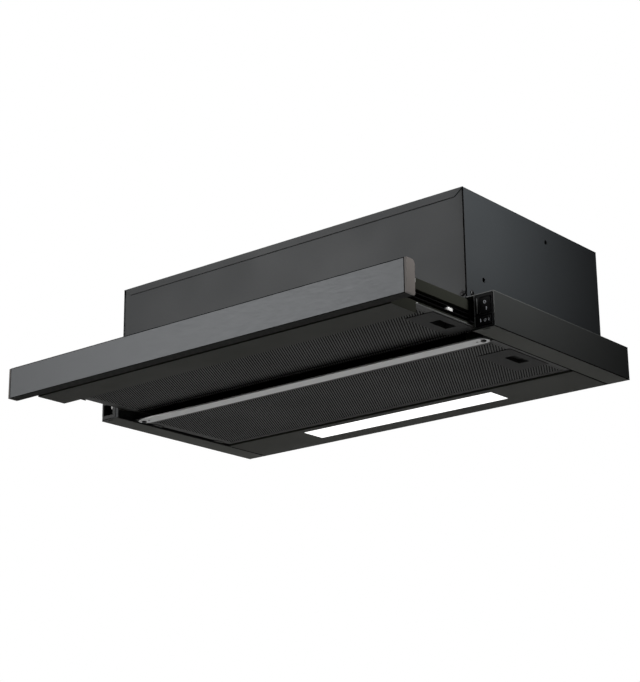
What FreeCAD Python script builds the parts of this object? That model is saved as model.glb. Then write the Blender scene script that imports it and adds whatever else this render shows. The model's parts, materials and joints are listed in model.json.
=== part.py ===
import FreeCAD, Part
import math
import os

import Sketcher
from FreeCAD import Placement, Rotation, Vector

# A pull out range hood, 600 mm wide, in millimetres. Places are given in the hood's own layout:
# X to the right, Y to the back from the front of the side rails, Z up from the rails' underside.
# The model's origin is on the duct collar's axis, where the duct seats on the collar's flange, so
# every piece is shifted there when it is placed. The carriage is modelled pulled out.

SIZES = {
    # overall
    "frame_width": 600,
    "hood_depth": 280,
    "frame_height": 40,
    "ledge_width": 35,
    "body_height": 128,
    "gauge": 1,
    # housing
    "sheet_gap": 0.1,
    "top_flange": 9.3,
    "mitre_run": 12,
    "plate_side_gap": 0.8,
    "foot_flange": 14,
    "foot_ear_height": 13,
    "foot_ear_depth": 10,
    "corner_tab_width": 14,
    "corner_tab_height": 12,
    "fixing_radius": 2.75,
    "fixing_low_back": 34.5,
    "fixing_low_up": 27.8,
    "fixing_high_back": 166.2,
    "fixing_high_up": 108.9,
    "screw_radius": 1.75,
    "screw_head_radius": 3.2,
    "screw_head_height": 1.6,
    "screw_length": 7,
    "hole_clear": 0.15,
    "corner_screw_in": 5.6,
    "corner_screw_up": 5.5,
    "side_screw_back": 10.6,
    "side_screw_up": 6.8,
    # side rails
    "rail_flange": 30,
    "rail_web_in": 26,
    "rail_slot_length": 9,
    "rail_slot_width": 2.4,
    "rail_slot_in": 8,
    "rail_slot_back": 1.8,
    # cross bar
    "bar_front": 27,
    "bar_width": 18,
    "bar_thick": 2,
    "bar_end_gap": 3,
    "bar_flat": 0.1,
    "bar_screw_in": 6.5,
    "bar_hole_in": 15,
    "bar_hole_radius": 1.4,
    "tab_reach": 20,
    "tab_narrow": 2,
    # carriage
    "visor_out": 154,
    "fascia_thick": 14,
    "fascia_height": 37.4,
    "fascia_drop": 1.6,
    "fascia_lip": 8,
    "cap_thick": 3,
    "cap_plug": 10,
    "cap_play": 0.3,
    "cap_round": 5,
    "lip_gap": 4,
    "lip_depth": 42,
    "lip_end_gap": 3.5,
    "rim_top_gap": 0.3,
    "arm_head_gap": 1,
    "arm_step_gap": 0.8,
    "arm_recess": 7,
    "arm_length": 240,
    "arm_flange": 14,
    "arm_foot": 25,
    "arm_foot_height": 24,
    "arm_screw_in": 18,
    "arm_screw_down": 4.3,
    "cap_screw_in": 4,
    "cap_screw_up": 18.6,
    "cover_depth": 163,
    "cover_thick": 0.8,
    "cover_side_gap": 1.5,
    # ball slides
    "slide_up": 7.45,
    "slide_height": 11.9,
    "slide_gauge": 0.8,
    "slide_start": 2,
    "slide_length": 238,
    "slide_mouth": 5,
    "slide_outside": 3,
    "inner_depth": 7,
    "inner_front_gap": 5,
    "inner_rear_gap": 2,
    "ball_radius": 1.05,
    "ball_clear": 0.05,
    "ball_pitch": 15,
    "ball_count": 6,
    "cage_gauge": 0.5,
    "cage_length": 90,
    "cage_hole_clear": 0.1,
    "spacer_length": 20,
    "spacer_height": 9,
    "stop_back": 122,
    "stop_length": 10,
    "stop_width": 3.6,
    "stop_height": 3,
    # front filter
    "front_filter_bottom": 10,
    "front_filter_height": 9,
    "front_filter_depth": 116.5,
    "front_filter_gap": 3,
    "front_filter_round": 20,
    "front_rim": 10,
    "front_handle_width": 37,
    "front_handle_side": 3,
    "front_handle_end": 6.5,
    "front_handle_depth": 77,
    "front_grip_side": 13.5,
    "front_grip_in": 27,
    # rear filter
    "rear_filter_bottom": 2,
    "rear_filter_height": 6.2,
    "rear_filter_bar_gap": 1.5,
    "rear_filter_side_gap": 2,
    "rear_filter_round": 3,
    "rear_rim": 8,
    "rear_handle_width": 44,
    "rear_handle_side": 6,
    "rear_handle_end": 40,
    "rear_handle_depth": 78,
    "rear_grip_side": 16,
    "rear_grip_in": 24,
    # both filters
    "rim_thick": 1,
    "rim_end": 6,
    "rim_side_gap": 0.3,
    "filter_wall": 1,
    "mesh_thick": 0.8,
    "mesh_edge_gap": 0.2,
    "pad_gap": 0.3,
    "handle_plate": 0.6,
    "grip_length": 30,
    "grip_width": 14,
    "grip_wall": 1,
    "latch_width": 8,
    "latch_thick": 1.6,
    "latch_play": 0.3,
    "latch_tip_gap": 0.4,
    "thumb_length": 18,
    "thumb_thick": 2,
    # hooks that carry the left edges
    "hook_length": 12,
    "hook_reach": 0.5,
    "hook_thick": 0.8,
    "hook_gap": 0.3,
    "hook_one": 21,
    "hook_two": 91,
    "tongue_length": 15,
    "tongue_reach": 3.4,
    "tongue_thick": 0.9,
    "tongue_one": 14,
    "tongue_two": 29,
    # rear panel and light
    "panel_depth": 75.5,
    "panel_gap": 1,
    "panel_side_gap": 0.5,
    "panel_upstand": 8,
    "panel_ear": 10,
    "lens_width": 293.4,
    "lens_depth": 36.4,
    "lens_from_front": 29.5,
    "lens_gap": 0.3,
    "lens_proud": 0.2,
    "lens_brim": 3,
    "tray_height": 13,
    "tray_margin": 6,
    "tray_gap": 0.5,
    "led_board_thick": 1,
    "led_count": 12,
    "led_size": 3.5,
    "led_height": 0.8,
    # blower
    "scroll_gap": 6,
    "scroll_wall": 2,
    "scroll_end_gap": 9,
    "scroll_split": 1.5,
    "outlet_half_width": 62,
    "outlet_side_gap": 0.2,
    "inlet_lap": 2,
    "wheel_gap": 10,
    "wheel_rim": 2,
    "wheel_start": 10,
    "wheel_width": 56,
    "wheel_disc_gap": 5,
    "wheel_disc_thick": 2,
    "wheel_hub_radius": 9,
    "wheel_hub_length": 14,
    "wheel_clear": 0.1,
    "blade_count": 24,
    "blade_depth": 8,
    "blade_inset": 0.5,
    "blade_thick": 1.2,
    "blade_lean": 2.5,
    "motor_radius": 30,
    "motor_half": 28,
    "motor_flange": 34,
    "bracket_ring": 4,
    "bracket_arm": 8,
    "boss_radius": 8,
    "boss_length": 5,
    "shaft_radius": 4,
    "shaft_clear": 0.08,
    # duct collar
    "duct_back": 140,
    "spigot_radius": 59.5,
    "spigot_wall": 2,
    "spigot_height": 30,
    "collar_brim": 15.5,
    "collar_flange_thick": 3,
    "collar_screw_out": 8,
    "spindle_radius": 1.5,
    "spindle_up": 9,
    "spindle_end_gap": 0.2,
    "flap_thick": 1.2,
    "flap_gap": 1.2,
    "flap_split": 3.6,
    "knuckle_radius": 3,
    "knuckle_length": 12,
    "knuckle_clear": 0.08,
    # switches
    "switch_web_gap": 1,
    "switch_wall_gap": 0.3,
    "switch_floor_gap": 0.3,
    "switch_top_gap": 0.5,
    "switch_depth": 34,
    "switch_split": 15,
    "light_bezel_in": 5,
    "light_bezel_proud": 1,
    "speed_bezel_proud": 2.6,
    "light_rocker_width": 13,
    "light_rocker_height": 17,
    "light_rocker_drop": 1.15,
    "light_rocker_in": 9.1,
    "speed_rocker_width": 18,
    "speed_rocker_height": 9.6,
    "speed_rocker_up": 6.9,
    "speed_rocker_in": 10.5,
    "rocker_tilt": 7,
    "rocker_body": 5,
    "rocker_gap": 0.8,
    "rocker_pivot": 1.5,
    "rocker_pin": 1,
    "rocker_pin_clear": 0.06,
    "well_depth": 9,
    "cap_left_depth": 12,
    "cap_window_low": 6,
    "cap_window_high": 20,
    "cap_window_in": 4,
    "cap_window_width": 15.6,
    # electrics
    "terminal_in": 35,
    "terminal_width": 80,
    "terminal_up": 60,
    "terminal_height": 50,
    "terminal_depth": 40,
    "terminal_wall": 2,
    "lid_lip_gap": 0.4,
    "capacitor_gap": 14,
    "capacitor_up": 38,
    "capacitor_radius": 16,
    "capacitor_neck": 8,
    "capacitor_length": 50,
    "driver_in": 45,
    "driver_width": 80,
    "driver_up": 60,
    "driver_height": 25,
    "driver_depth": 30,
    "gland_in": 65,
    "gland_from_back": 40,
    "gland_radius": 9,
    "gland_bore": 3.6,
    "gland_rim": 12,
    "gland_above": 8,
    "gland_below": 6,
    "gland_rim_thick": 2.5,
    "stop_switch_gap": 0.6,
    "stop_switch_length": 20,
    "stop_switch_height": 10,
    "stop_switch_web_gap": 1,
    "stop_switch_width": 7,
    "lever_reach": 5,
    "lever_thick": 0.6,
    "lever_height": 9,
    "lever_pin": 0.8,
    "lever_knuckle": 1.8,
    "lever_clear": 0.06,
    # how far the carriage stops short of the bar when it is closed
    "bar_clear": 2,
}


class Size:
    """A length that carries its number and the sheet expression that gives it."""

    def __init__(self, number, text):
        self.number = number
        self.text = text

    def __add__(self, other):
        return Size(self.number + number_of(other), f"({self.text} + {text_of(other)})")

    def __radd__(self, other):
        return Size(number_of(other) + self.number, f"({text_of(other)} + {self.text})")

    def __sub__(self, other):
        return Size(self.number - number_of(other), f"({self.text} - {text_of(other)})")

    def __rsub__(self, other):
        return Size(number_of(other) - self.number, f"({text_of(other)} - {self.text})")

    def __mul__(self, other):
        return Size(self.number * number_of(other), f"({self.text} * {text_of(other)})")

    def __rmul__(self, other):
        return Size(number_of(other) * self.number, f"({text_of(other)} * {self.text})")

    def __truediv__(self, other):
        return Size(self.number / number_of(other), f"({self.text} / {text_of(other)})")

    def __neg__(self):
        return Size(-self.number, f"(-{self.text})")


def number_of(length):
    return length.number if isinstance(length, Size) else length


def text_of(length):
    return length.text if isinstance(length, Size) else f"({length})"


document = FreeCAD.newDocument("RangeHood")
sheet = document.addObject("Spreadsheet::Sheet", "Sizes")


class Sheet:
    """The driving sizes by name."""


s = Sheet()
for row, (name, number) in enumerate(SIZES.items(), start=1):
    sheet.set(f"A{row}", name)
    sheet.set(f"B{row}", str(number))
    sheet.setAlias(f"B{row}", name)
    setattr(s, name, Size(number, f"Sizes.{name}"))
document.recompute()

# places that several pieces share
frame_side = s.frame_width / 2
side = frame_side - s.ledge_width
shell_low = s.frame_height
roof = shell_low + s.body_height
duct_seat = roof + s.collar_flange_thick
rail_inner = frame_side - s.rail_flange
rail_web = frame_side - s.rail_web_in
bar_end = rail_inner - s.bar_end_gap
bar_middle = s.bar_front + s.bar_width / 2
panel_front = s.hood_depth - s.panel_depth
lens_middle = panel_front + s.lens_from_front
fascia_front = -s.visor_out
fascia_back = fascia_front + s.fascia_thick
fascia_bottom = -s.fascia_drop
fascia_top = fascia_bottom + s.fascia_height
lip_front = fascia_back + s.lip_gap
lip_rear = lip_front + s.lip_depth
lip_side = rail_inner - s.lip_end_gap
arm_web = side - s.arm_recess
arm_rear = fascia_back + s.arm_length
arm_bottom = s.front_filter_bottom + s.rim_thick + s.rim_top_gap
arm_top = s.frame_height - s.gauge - s.arm_head_gap
arm_screw_z = fascia_top - s.arm_screw_down
slide_middle = arm_bottom + s.slide_up
arm_step = slide_middle + s.slide_height / 2 + s.arm_step_gap
duct_y = s.duct_back
fan_z = shell_low + s.body_height / 2
scroll_radius = s.body_height / 2 - s.scroll_gap
travel = s.bar_front - s.bar_clear - lip_rear

pieces = []


def bind(item, path, length):
    item.setExpression(path, text_of(length))


def place(item, x, y, z):
    """Put an object at a place of the hood's layout, shifted to the model's origin."""
    bind(item, "Placement.Base.x", x)
    bind(item, "Placement.Base.y", y - s.duct_back)
    bind(item, "Placement.Base.z", z - duct_seat)


def piece(label, item):
    """Register an object as a sub-part under its own name."""
    item.Label = label
    pieces.append(item)
    return item


def box(x, y, z, name="Block"):
    """A block between two ends along each axis."""
    item = document.addObject("Part::Box", name)
    bind(item, "Length", x[1] - x[0])
    bind(item, "Width", y[1] - y[0])
    bind(item, "Height", z[1] - z[0])
    place(item, x[0], y[0], z[0])
    return item


TURN = {
    "X": Rotation(Vector(0, 1, 0), 90),
    "Y": Rotation(Vector(1, 0, 0), -90),
    "Z": Rotation(),
}


def rod(axis, x, y, z, radius, length, name="Rod"):
    """A cylinder that starts at a place and runs along an axis."""
    item = document.addObject("Part::Cylinder", name)
    bind(item, "Radius", radius)
    bind(item, "Height", length)
    item.Placement = Placement(Vector(), TURN[axis])
    place(item, x, y, z)
    return item


def ball(x, y, z, radius):
    item = document.addObject("Part::Sphere", "Ball")
    bind(item, "Radius", radius)
    place(item, x, y, z)
    return item


def fuse(items, name="Joined"):
    item = document.addObject("Part::MultiFuse", name)
    item.Shapes = items
    item.Refine = True
    return item


def group(items, name="Group"):
    """Several separate solids in one sub-part."""
    item = document.addObject("Part::Compound", name)
    item.Links = items
    return item


def cut(base, tools, name="CutOut"):
    item = document.addObject("Part::Cut", name)
    item.Base = base
    item.Tool = fuse(tools, "Tools") if len(tools) > 1 else tools[0]
    item.Refine = True
    return item


def spread(hand, inner, outer):
    """The two ends across the hood of something on the right, or its mirror on the left."""
    return (inner, outer) if hand > 0 else (-outer, -inner)


def across(hand, x):
    return x if hand > 0 else -x


def origin_plane(body, role):
    return next(part for part in body.Origin.OriginFeatures if part.Role == role)


def outline(sketch, points):
    """A closed outline of straight lines with every corner tied to the sheet."""
    corners = [Vector(number_of(a), number_of(b), 0) for a, b in points]
    count = len(corners)
    for index, corner in enumerate(corners):
        sketch.addGeometry(Part.LineSegment(corner, corners[(index + 1) % count]), False)
    for index in range(count):
        sketch.addConstraint(Sketcher.Constraint("Coincident", index, 2, (index + 1) % count, 1))
    for index, point in enumerate(points):
        for kind, length in zip(("DistanceX", "DistanceY"), point):
            tie = Sketcher.Constraint(kind, -1, 1, index, 1, float(number_of(length)))
            sketch.setExpression(f"Constraints[{sketch.addConstraint(tie)}]", text_of(length))


def circle(sketch, a, b, radius):
    """A circle with its centre and radius tied to the sheet."""
    centre = Vector(number_of(a), number_of(b), 0)
    edge = sketch.addGeometry(Part.Circle(centre, Vector(0, 0, 1), number_of(radius)), False)
    ties = (
        (Sketcher.Constraint("DistanceX", -1, 1, edge, 3, float(number_of(a))), a),
        (Sketcher.Constraint("DistanceY", -1, 1, edge, 3, float(number_of(b))), b),
        (Sketcher.Constraint("Radius", edge, float(number_of(radius))), radius),
    )
    for tie, length in ties:
        sketch.setExpression(f"Constraints[{sketch.addConstraint(tie)}]", text_of(length))


def new_sketch(body, plane, name="Outline"):
    sketch = body.newObject("Sketcher::SketchObject", name)
    sketch.AttachmentSupport = [(origin_plane(body, plane + "_Plane"), "")]
    sketch.MapMode = "FlatFace"
    return sketch


def section(plane, points, span, name="Section"):
    """A body whose outline on a plane is padded over a span along the plane's own axis."""
    body = document.addObject("PartDesign::Body", name)
    sketch = new_sketch(body, plane)
    outline(sketch, points)
    pad = body.newObject("PartDesign::Pad", "Pad")
    pad.Profile = sketch
    pad.Reversed = plane == "XZ"
    bind(pad, "Length", span[1] - span[0])
    start = {"YZ": (span[0], 0, 0), "XZ": (0, span[0], 0), "XY": (0, 0, span[0])}[plane]
    place(body, *start)
    return body


def round_edges(body, radius, chosen):
    """Round the edges of a body's last feature that a test picks out."""
    document.recompute()
    base = body.Tip
    names = [f"Edge{i}" for i, edge in enumerate(base.Shape.Edges, start=1) if chosen(edge)]
    fillet = body.newObject("PartDesign::Fillet", "Rounding")
    fillet.Base = (base, names)
    bind(fillet, "Radius", radius)
    return body


def along(edge, axis):
    """Whether an edge is straight and runs along an axis."""
    if not isinstance(edge.Curve, Part.Line):
        return False
    return abs(getattr(edge.Curve.Direction, axis.lower())) > 0.999


def rounded_plate(x, y, z, radius, rear_only=False, name="Plate"):
    """A plate with rounded corners, all four or only the rear ones."""
    body = section("XY", [(x[0], y[0]), (x[1], y[0]), (x[1], y[1]), (x[0], y[1])], z, name)
    middle = (number_of(y[0]) + number_of(y[1])) / 2

    def chosen(edge):
        return along(edge, "Z") and (not rear_only or edge.CenterOfMass.y > middle)

    return round_edges(body, radius, chosen)


def ring(outer, inner):
    return cut(outer, [inner], "Ring")


def screw(axis, hand, x, y, z, name="Screw"):
    """A pan head screw whose head seats at a place and whose shank runs away from it."""
    head_back = {"X": (-hand, 0, 0), "Y": (0, -hand, 0), "Z": (0, 0, -hand)}[axis]
    if hand > 0:
        head_start = [a + b * s.screw_head_height for a, b in zip((x, y, z), head_back)]
        shank_start = (x, y, z)
    else:
        head_start = (x, y, z)
        shank_start = [a - b * s.screw_length for a, b in zip((x, y, z), head_back)]
    head = rod(axis, *head_start, s.screw_head_radius, s.screw_head_height, "Head")
    shank = rod(axis, *shank_start, s.screw_radius, s.screw_length, "Shank")
    return fuse([head, shank], name)


def screw_hole(axis, x, y, z, half_length):
    start = {"X": (x - half_length, y, z), "Y": (x, y - half_length, z), "Z": (x, y, z - half_length)}
    return rod(axis, *start[axis], s.screw_radius + s.hole_clear, 2 * half_length, "Hole")


# ---- upper housing

mitre_z = roof - s.top_flange
plate_edge = side - s.gauge - s.plate_side_gap
corner_x = side - s.corner_screw_in
corner_z = shell_low + s.corner_screw_up
side_screw_z = shell_low + s.side_screw_up
hole_reach = 3 * s.gauge


def housing_wrap():
    """Both sides and the back in one folded sheet, with a tab for each lower corner of the front plate."""
    low = shell_low - s.gauge
    outside = box((-side, side), (0, s.hood_depth), (low, roof - s.gauge), "Outside")
    inside = box(
        (-side + s.gauge, side - s.gauge),
        (-s.gauge, s.hood_depth - s.gauge),
        (low - s.gauge, roof + s.gauge),
        "Inside",
    )
    back = (s.hood_depth - s.gauge, s.hood_depth)
    tail = rail_inner - s.sheet_gap
    parts = [cut(outside, [inside]), box((-tail, tail), back, (0, low))]
    tab_y = (2 * s.gauge, 3 * s.gauge)
    tab_z = (shell_low + s.gauge + s.sheet_gap, shell_low + s.corner_tab_height)
    for hand in (-1, 1):
        parts.append(box(spread(hand, side - s.corner_tab_width, side), tab_y, tab_z))
    holes = []
    for hand in (-1, 1):
        wall = across(hand, side - s.gauge / 2)
        for back_y, up in (
            (s.fixing_low_back, s.fixing_low_up),
            (s.fixing_high_back, s.fixing_high_up),
        ):
            start = wall - hole_reach
            holes.append(rod("X", start, back_y, shell_low + up, s.fixing_radius, 2 * hole_reach))
        holes.append(screw_hole("Y", across(hand, corner_x), 2.5 * s.gauge, corner_z, s.gauge))
        holes.append(screw_hole("X", wall, s.side_screw_back, side_screw_z, s.gauge))
    return piece("housing_wrap", cut(fuse(parts), holes))


def housing_top():
    """The top sheet with its front flange, whose ends are cut at an angle, and the duct opening."""
    sheet_top = box((-side, side), (0, s.hood_depth), (roof - s.gauge, roof), "Sheet")
    inner = side - s.mitre_run
    trapezoid = [(-side, roof), (side, roof), (inner, mitre_z), (-inner, mitre_z)]
    flange = section("XZ", trapezoid, (0, s.gauge), "Flange")
    below = roof - 2 * s.gauge
    duct = rod("Z", 0, duct_y, below, s.spigot_radius - s.spigot_wall, 3 * s.gauge)
    gland = rod("Z", gland_x, gland_y, below, s.gland_radius + s.hole_clear, 3 * s.gauge)
    holes = [duct, gland]
    for x, y in collar_screw_places():
        holes.append(screw_hole("Z", x, y, roof, 2 * s.gauge))
    return piece("housing_top", cut(fuse([sheet_top, flange]), holes))


def collar_screw_places():
    """Four places on the collar's flange, on its diagonals."""
    reach = (s.spigot_radius + s.collar_screw_out) * math.sqrt(0.5)
    return [(a * reach, duct_y + b * reach) for a in (-1, 1) for b in (-1, 1)]


def housing_front_plate():
    """The front plate between the side walls, with a fold along its foot and an ear at each end of it."""
    wide = (-plate_edge, plate_edge)
    plate = box(wide, (s.gauge, 2 * s.gauge), (shell_low, roof - s.gauge))
    foot = box(wide, (s.gauge, s.foot_flange), (shell_low, shell_low + s.gauge))
    parts = [plate, foot]
    holes = []
    for hand in (-1, 1):
        ear_x = spread(hand, plate_edge - s.gauge, plate_edge)
        ear_y = (s.foot_flange - s.foot_ear_depth, s.foot_flange)
        parts.append(box(ear_x, ear_y, (shell_low, shell_low + s.foot_ear_height)))
        ear_middle = across(hand, plate_edge - s.gauge / 2)
        holes.append(screw_hole("X", ear_middle, s.side_screw_back, side_screw_z, s.gauge))
        holes.append(screw_hole("Y", across(hand, corner_x), 1.5 * s.gauge, corner_z, s.gauge))
    return piece("housing_front_plate", cut(fuse(parts), holes))


def housing_screws():
    screws = []
    for hand in (-1, 1):
        screws.append(screw("Y", 1, hand * corner_x, s.gauge, corner_z))
        screws.append(screw("X", -hand, hand * side, s.side_screw_back, side_screw_z))
    return piece("housing_screws", group(screws))


# ---- lower frame


def rail(hand, label):
    """A side rail: outer wall, ledge, web and underside, with a seat for the cross bar's end."""
    outer = spread(hand, frame_side - s.gauge, frame_side)
    depth = (0, s.hood_depth)
    rear = (s.hood_depth - s.gauge, s.hood_depth)
    parts = [
        box(outer, depth, (0, s.frame_height)),
        box(spread(hand, side, frame_side), depth, (s.frame_height - s.gauge, s.frame_height)),
        box(spread(hand, rail_web, rail_web + s.gauge), depth, (0, s.frame_height)),
        box(spread(hand, rail_inner, frame_side), depth, (0, s.gauge)),
        box(spread(hand, rail_inner, frame_side), rear, (0, s.frame_height)),
    ]
    tab_y = (s.bar_front + s.tab_narrow, s.bar_front + s.bar_width - s.tab_narrow)
    tab_top = s.bar_thick + s.gauge
    inner = rail_inner - s.tab_reach
    parts.append(box(spread(hand, inner, rail_web), tab_y, (s.bar_thick, tab_top)))
    parts.append(box(spread(hand, rail_inner, rail_web), tab_y, (0, tab_top)))
    slot_outer = frame_side - s.rail_slot_in
    slot = box(
        spread(hand, slot_outer - s.rail_slot_length, slot_outer),
        (s.rail_slot_back, s.rail_slot_back + s.rail_slot_width),
        (-s.gauge, 2 * s.gauge),
    )
    hole = screw_hole("Z", across(hand, bar_end - s.bar_screw_in), bar_middle, tab_top, 2 * s.gauge)
    return piece(label, cut(fuse(parts), [slot, hole]))


def cross_bar():
    """The flat bar between the filters, with round ends and its holes."""
    y = (s.bar_front, s.bar_front + s.bar_width)
    corners = [(-bar_end, y[0]), (bar_end, y[0]), (bar_end, y[1]), (-bar_end, y[1])]
    body = section("XY", corners, (0, s.bar_thick), "Bar")
    round_edges(body, (s.bar_width - s.bar_flat) / 2, lambda edge: along(edge, "Z"))
    holes = []
    for hand in (-1, 1):
        x = hand * (bar_end - s.bar_screw_in)
        holes.append(screw_hole("Z", x, bar_middle, s.bar_thick, 2 * s.bar_thick))
        x = hand * (bar_end - s.bar_hole_in)
        holes.append(rod("Z", x, bar_middle, -s.bar_thick, s.bar_hole_radius, 3 * s.bar_thick))
    return piece("cross_bar", cut(body, holes))


def cross_bar_screws():
    places = [hand * (bar_end - s.bar_screw_in) for hand in (-1, 1)]
    return piece("cross_bar_screws", group([screw("Z", 1, x, bar_middle, 0) for x in places]))


def rear_panel():
    """The underside panel behind the filters: an upstand, ears on the rails and the light's opening."""
    edge = rail_inner - s.panel_side_gap
    rear = s.hood_depth - s.gauge
    upstand = edge - s.gauge
    parts = [
        box((-edge, edge), (panel_front, rear), (0, s.gauge)),
        box((-upstand, upstand), (panel_front, panel_front + s.gauge), (0, s.panel_upstand)),
    ]
    for hand in (-1, 1):
        for y in (panel_front + s.panel_ear, rear - 2 * s.panel_ear):
            reach = spread(hand, edge - s.panel_ear, rail_web)
            parts.append(box(reach, (y, y + s.panel_ear), (s.gauge, 2 * s.gauge)))
    half = s.lens_width / 2 + s.lens_gap
    deep = s.lens_depth / 2 + s.lens_gap
    window = box((-half, half), (lens_middle - deep, lens_middle + deep), (-s.gauge, 3 * s.gauge))
    return piece("rear_panel", cut(fuse(parts), [window]))


def light_lens():
    """The light's window: a boss in the panel's opening on a wider brim."""
    half = s.lens_width / 2
    deep = s.lens_depth / 2
    boss = box((-half, half), (lens_middle - deep, lens_middle + deep), (-s.lens_proud, s.gauge))
    wide = half + s.lens_brim
    long = deep + s.lens_brim
    brim = box((-wide, wide), (lens_middle - long, lens_middle + long), (s.gauge, 2 * s.gauge))
    return piece("light_lens", fuse([boss, brim]))


tray_top = s.gauge + s.tray_height
tray_half_width = s.lens_width / 2 + s.lens_brim + s.tray_margin
tray_half_depth = s.lens_depth / 2 + s.lens_brim + s.gauge + s.tray_gap


def light_tray():
    """The metal tray over the lens that carries the light board."""
    y = (lens_middle - tray_half_depth, lens_middle + tray_half_depth)
    x = (-tray_half_width, tray_half_width)
    inside = box(
        (x[0] + s.gauge, x[1] - s.gauge),
        (y[0] + s.gauge, y[1] - s.gauge),
        (0, tray_top - s.gauge),
    )
    return piece("light_tray", cut(box(x, y, (s.gauge, tray_top)), [inside]))


def led_board():
    """The board under the tray's roof, with its row of light chips."""
    high = tray_top - s.gauge
    low = high - s.led_board_thick
    reach = tray_half_width - s.gauge - s.tray_margin
    width = (lens_middle - s.tray_margin, lens_middle + s.tray_margin)
    parts = [box((-reach, reach), width, (low, high))]
    half = s.led_size / 2
    for index in range(int(SIZES["led_count"])):
        x = reach * ((2 * index + 1) / SIZES["led_count"] - 1)
        spot = (lens_middle - half, lens_middle + half)
        parts.append(box((x - half, x + half), spot, (low - s.led_height, low)))
    return piece("led_board", fuse(parts))


# ---- ball slides

outer_mouth = side - s.slide_mouth
outer_web = side + s.slide_outside
inner_half = s.slide_height / 2 - s.slide_gauge - 2 * (s.ball_radius + s.ball_clear)
ball_height = inner_half + s.ball_radius + s.ball_clear


def channel(hand, x, y, half, wall):
    """A C shaped slide member, open towards the middle of the hood if x[0] < x[1], else outwards."""
    low = slide_middle - half
    high = slide_middle + half
    near, far = across(hand, x[0]), across(hand, x[1])
    inside = across(hand, x[1] - wall if number_of(x[0]) < number_of(x[1]) else x[1] + wall)
    points = [
        (near, low),
        (far, low),
        (far, high),
        (near, high),
        (near, high - wall),
        (inside, high - wall),
        (inside, low + wall),
        (near, low + wall),
    ]
    return section("XZ", points, y, "Channel")


def slide_outer(hand, label):
    """The fixed member with its spacers against the rail's web."""
    y = (s.slide_start, s.slide_start + s.slide_length)
    parts = [channel(hand, (outer_mouth, outer_web), y, s.slide_height / 2, s.slide_gauge)]
    half = s.spacer_height / 2
    for start in (y[0] + s.spacer_length, (y[0] + y[1]) / 2, y[1] - 2 * s.spacer_length):
        reach = spread(hand, outer_web, rail_web)
        height = (slide_middle - half, slide_middle + half)
        parts.append(box(reach, (start, start + s.spacer_length), height))
    return piece(label, fuse(parts))


inner_front = fascia_back + s.gauge + s.inner_front_gap
inner_rear = arm_rear - s.inner_rear_gap
cage_middle = (s.slide_start + inner_rear) / 2


def slide_inner(hand, label):
    """The moving member on the arm, with the stop that ends its travel."""
    reach = (arm_web + s.inner_depth, arm_web)
    member = channel(hand, reach, (inner_front, inner_rear), inner_half, s.slide_gauge)
    y = fascia_front + s.stop_back
    web = arm_web + s.slide_gauge
    x = spread(hand, web, web + s.stop_height)
    half = s.stop_width / 2
    long = s.stop_length / 2
    stop = box(x, (y - long, y + long), (slide_middle - half, slide_middle + half))
    return piece(label, fuse([member, stop]))


def ball_cage(hand, label):
    """The cage and its balls, in two rows above and below the inner member."""
    web_outer = outer_web - s.slide_gauge - s.cage_gauge
    web_inner = web_outer - s.cage_gauge
    y = (cage_middle - s.cage_length / 2, cage_middle + s.cage_length / 2)
    half = s.cage_gauge / 2
    reach = ball_height + half
    web = spread(hand, web_inner, web_outer)
    parts = [box(web, y, (slide_middle - reach, slide_middle + reach))]
    balls = []
    holes = []
    ball_x = across(hand, (outer_mouth + arm_web + s.inner_depth) / 2)
    for up in (-1, 1):
        z = slide_middle + up * ball_height
        flange_inner = outer_mouth + s.cage_gauge
        parts.append(box(spread(hand, flange_inner, web_outer), y, (z - half, z + half)))
        for index in range(int(SIZES["ball_count"])):
            ball_y = cage_middle + (index - (SIZES["ball_count"] - 1) / 2) * s.ball_pitch
            balls.append(ball(ball_x, ball_y, z, s.ball_radius))
            radius = s.ball_radius + s.cage_hole_clear
            holes.append(rod("Z", ball_x, ball_y, z - s.cage_gauge, radius, 2 * s.cage_gauge))
    return piece(label, group([cut(fuse(parts), holes)] + balls))


# ---- carriage


def fascia():
    """The front panel: a folded channel, open at the back between its two lips."""
    wall = s.gauge
    points = [
        (fascia_front, fascia_bottom),
        (fascia_back, fascia_bottom),
        (fascia_back, fascia_bottom + s.fascia_lip),
        (fascia_back - wall, fascia_bottom + s.fascia_lip),
        (fascia_back - wall, fascia_bottom + wall),
        (fascia_front + wall, fascia_bottom + wall),
        (fascia_front + wall, fascia_top - wall),
        (fascia_back - wall, fascia_top - wall),
        (fascia_back - wall, fascia_top - s.fascia_lip),
        (fascia_back, fascia_top - s.fascia_lip),
        (fascia_back, fascia_top),
        (fascia_front, fascia_top),
    ]
    reach = frame_side - s.cap_thick
    body = section("YZ", points, (-reach, reach), "Panel")
    places = [hand * (side - s.arm_screw_in) for hand in (-1, 1)]
    holes = [screw_hole("Y", x, fascia_back - wall / 2, arm_screw_z, 2 * wall) for x in places]
    return piece("fascia", cut(body, holes))


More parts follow.
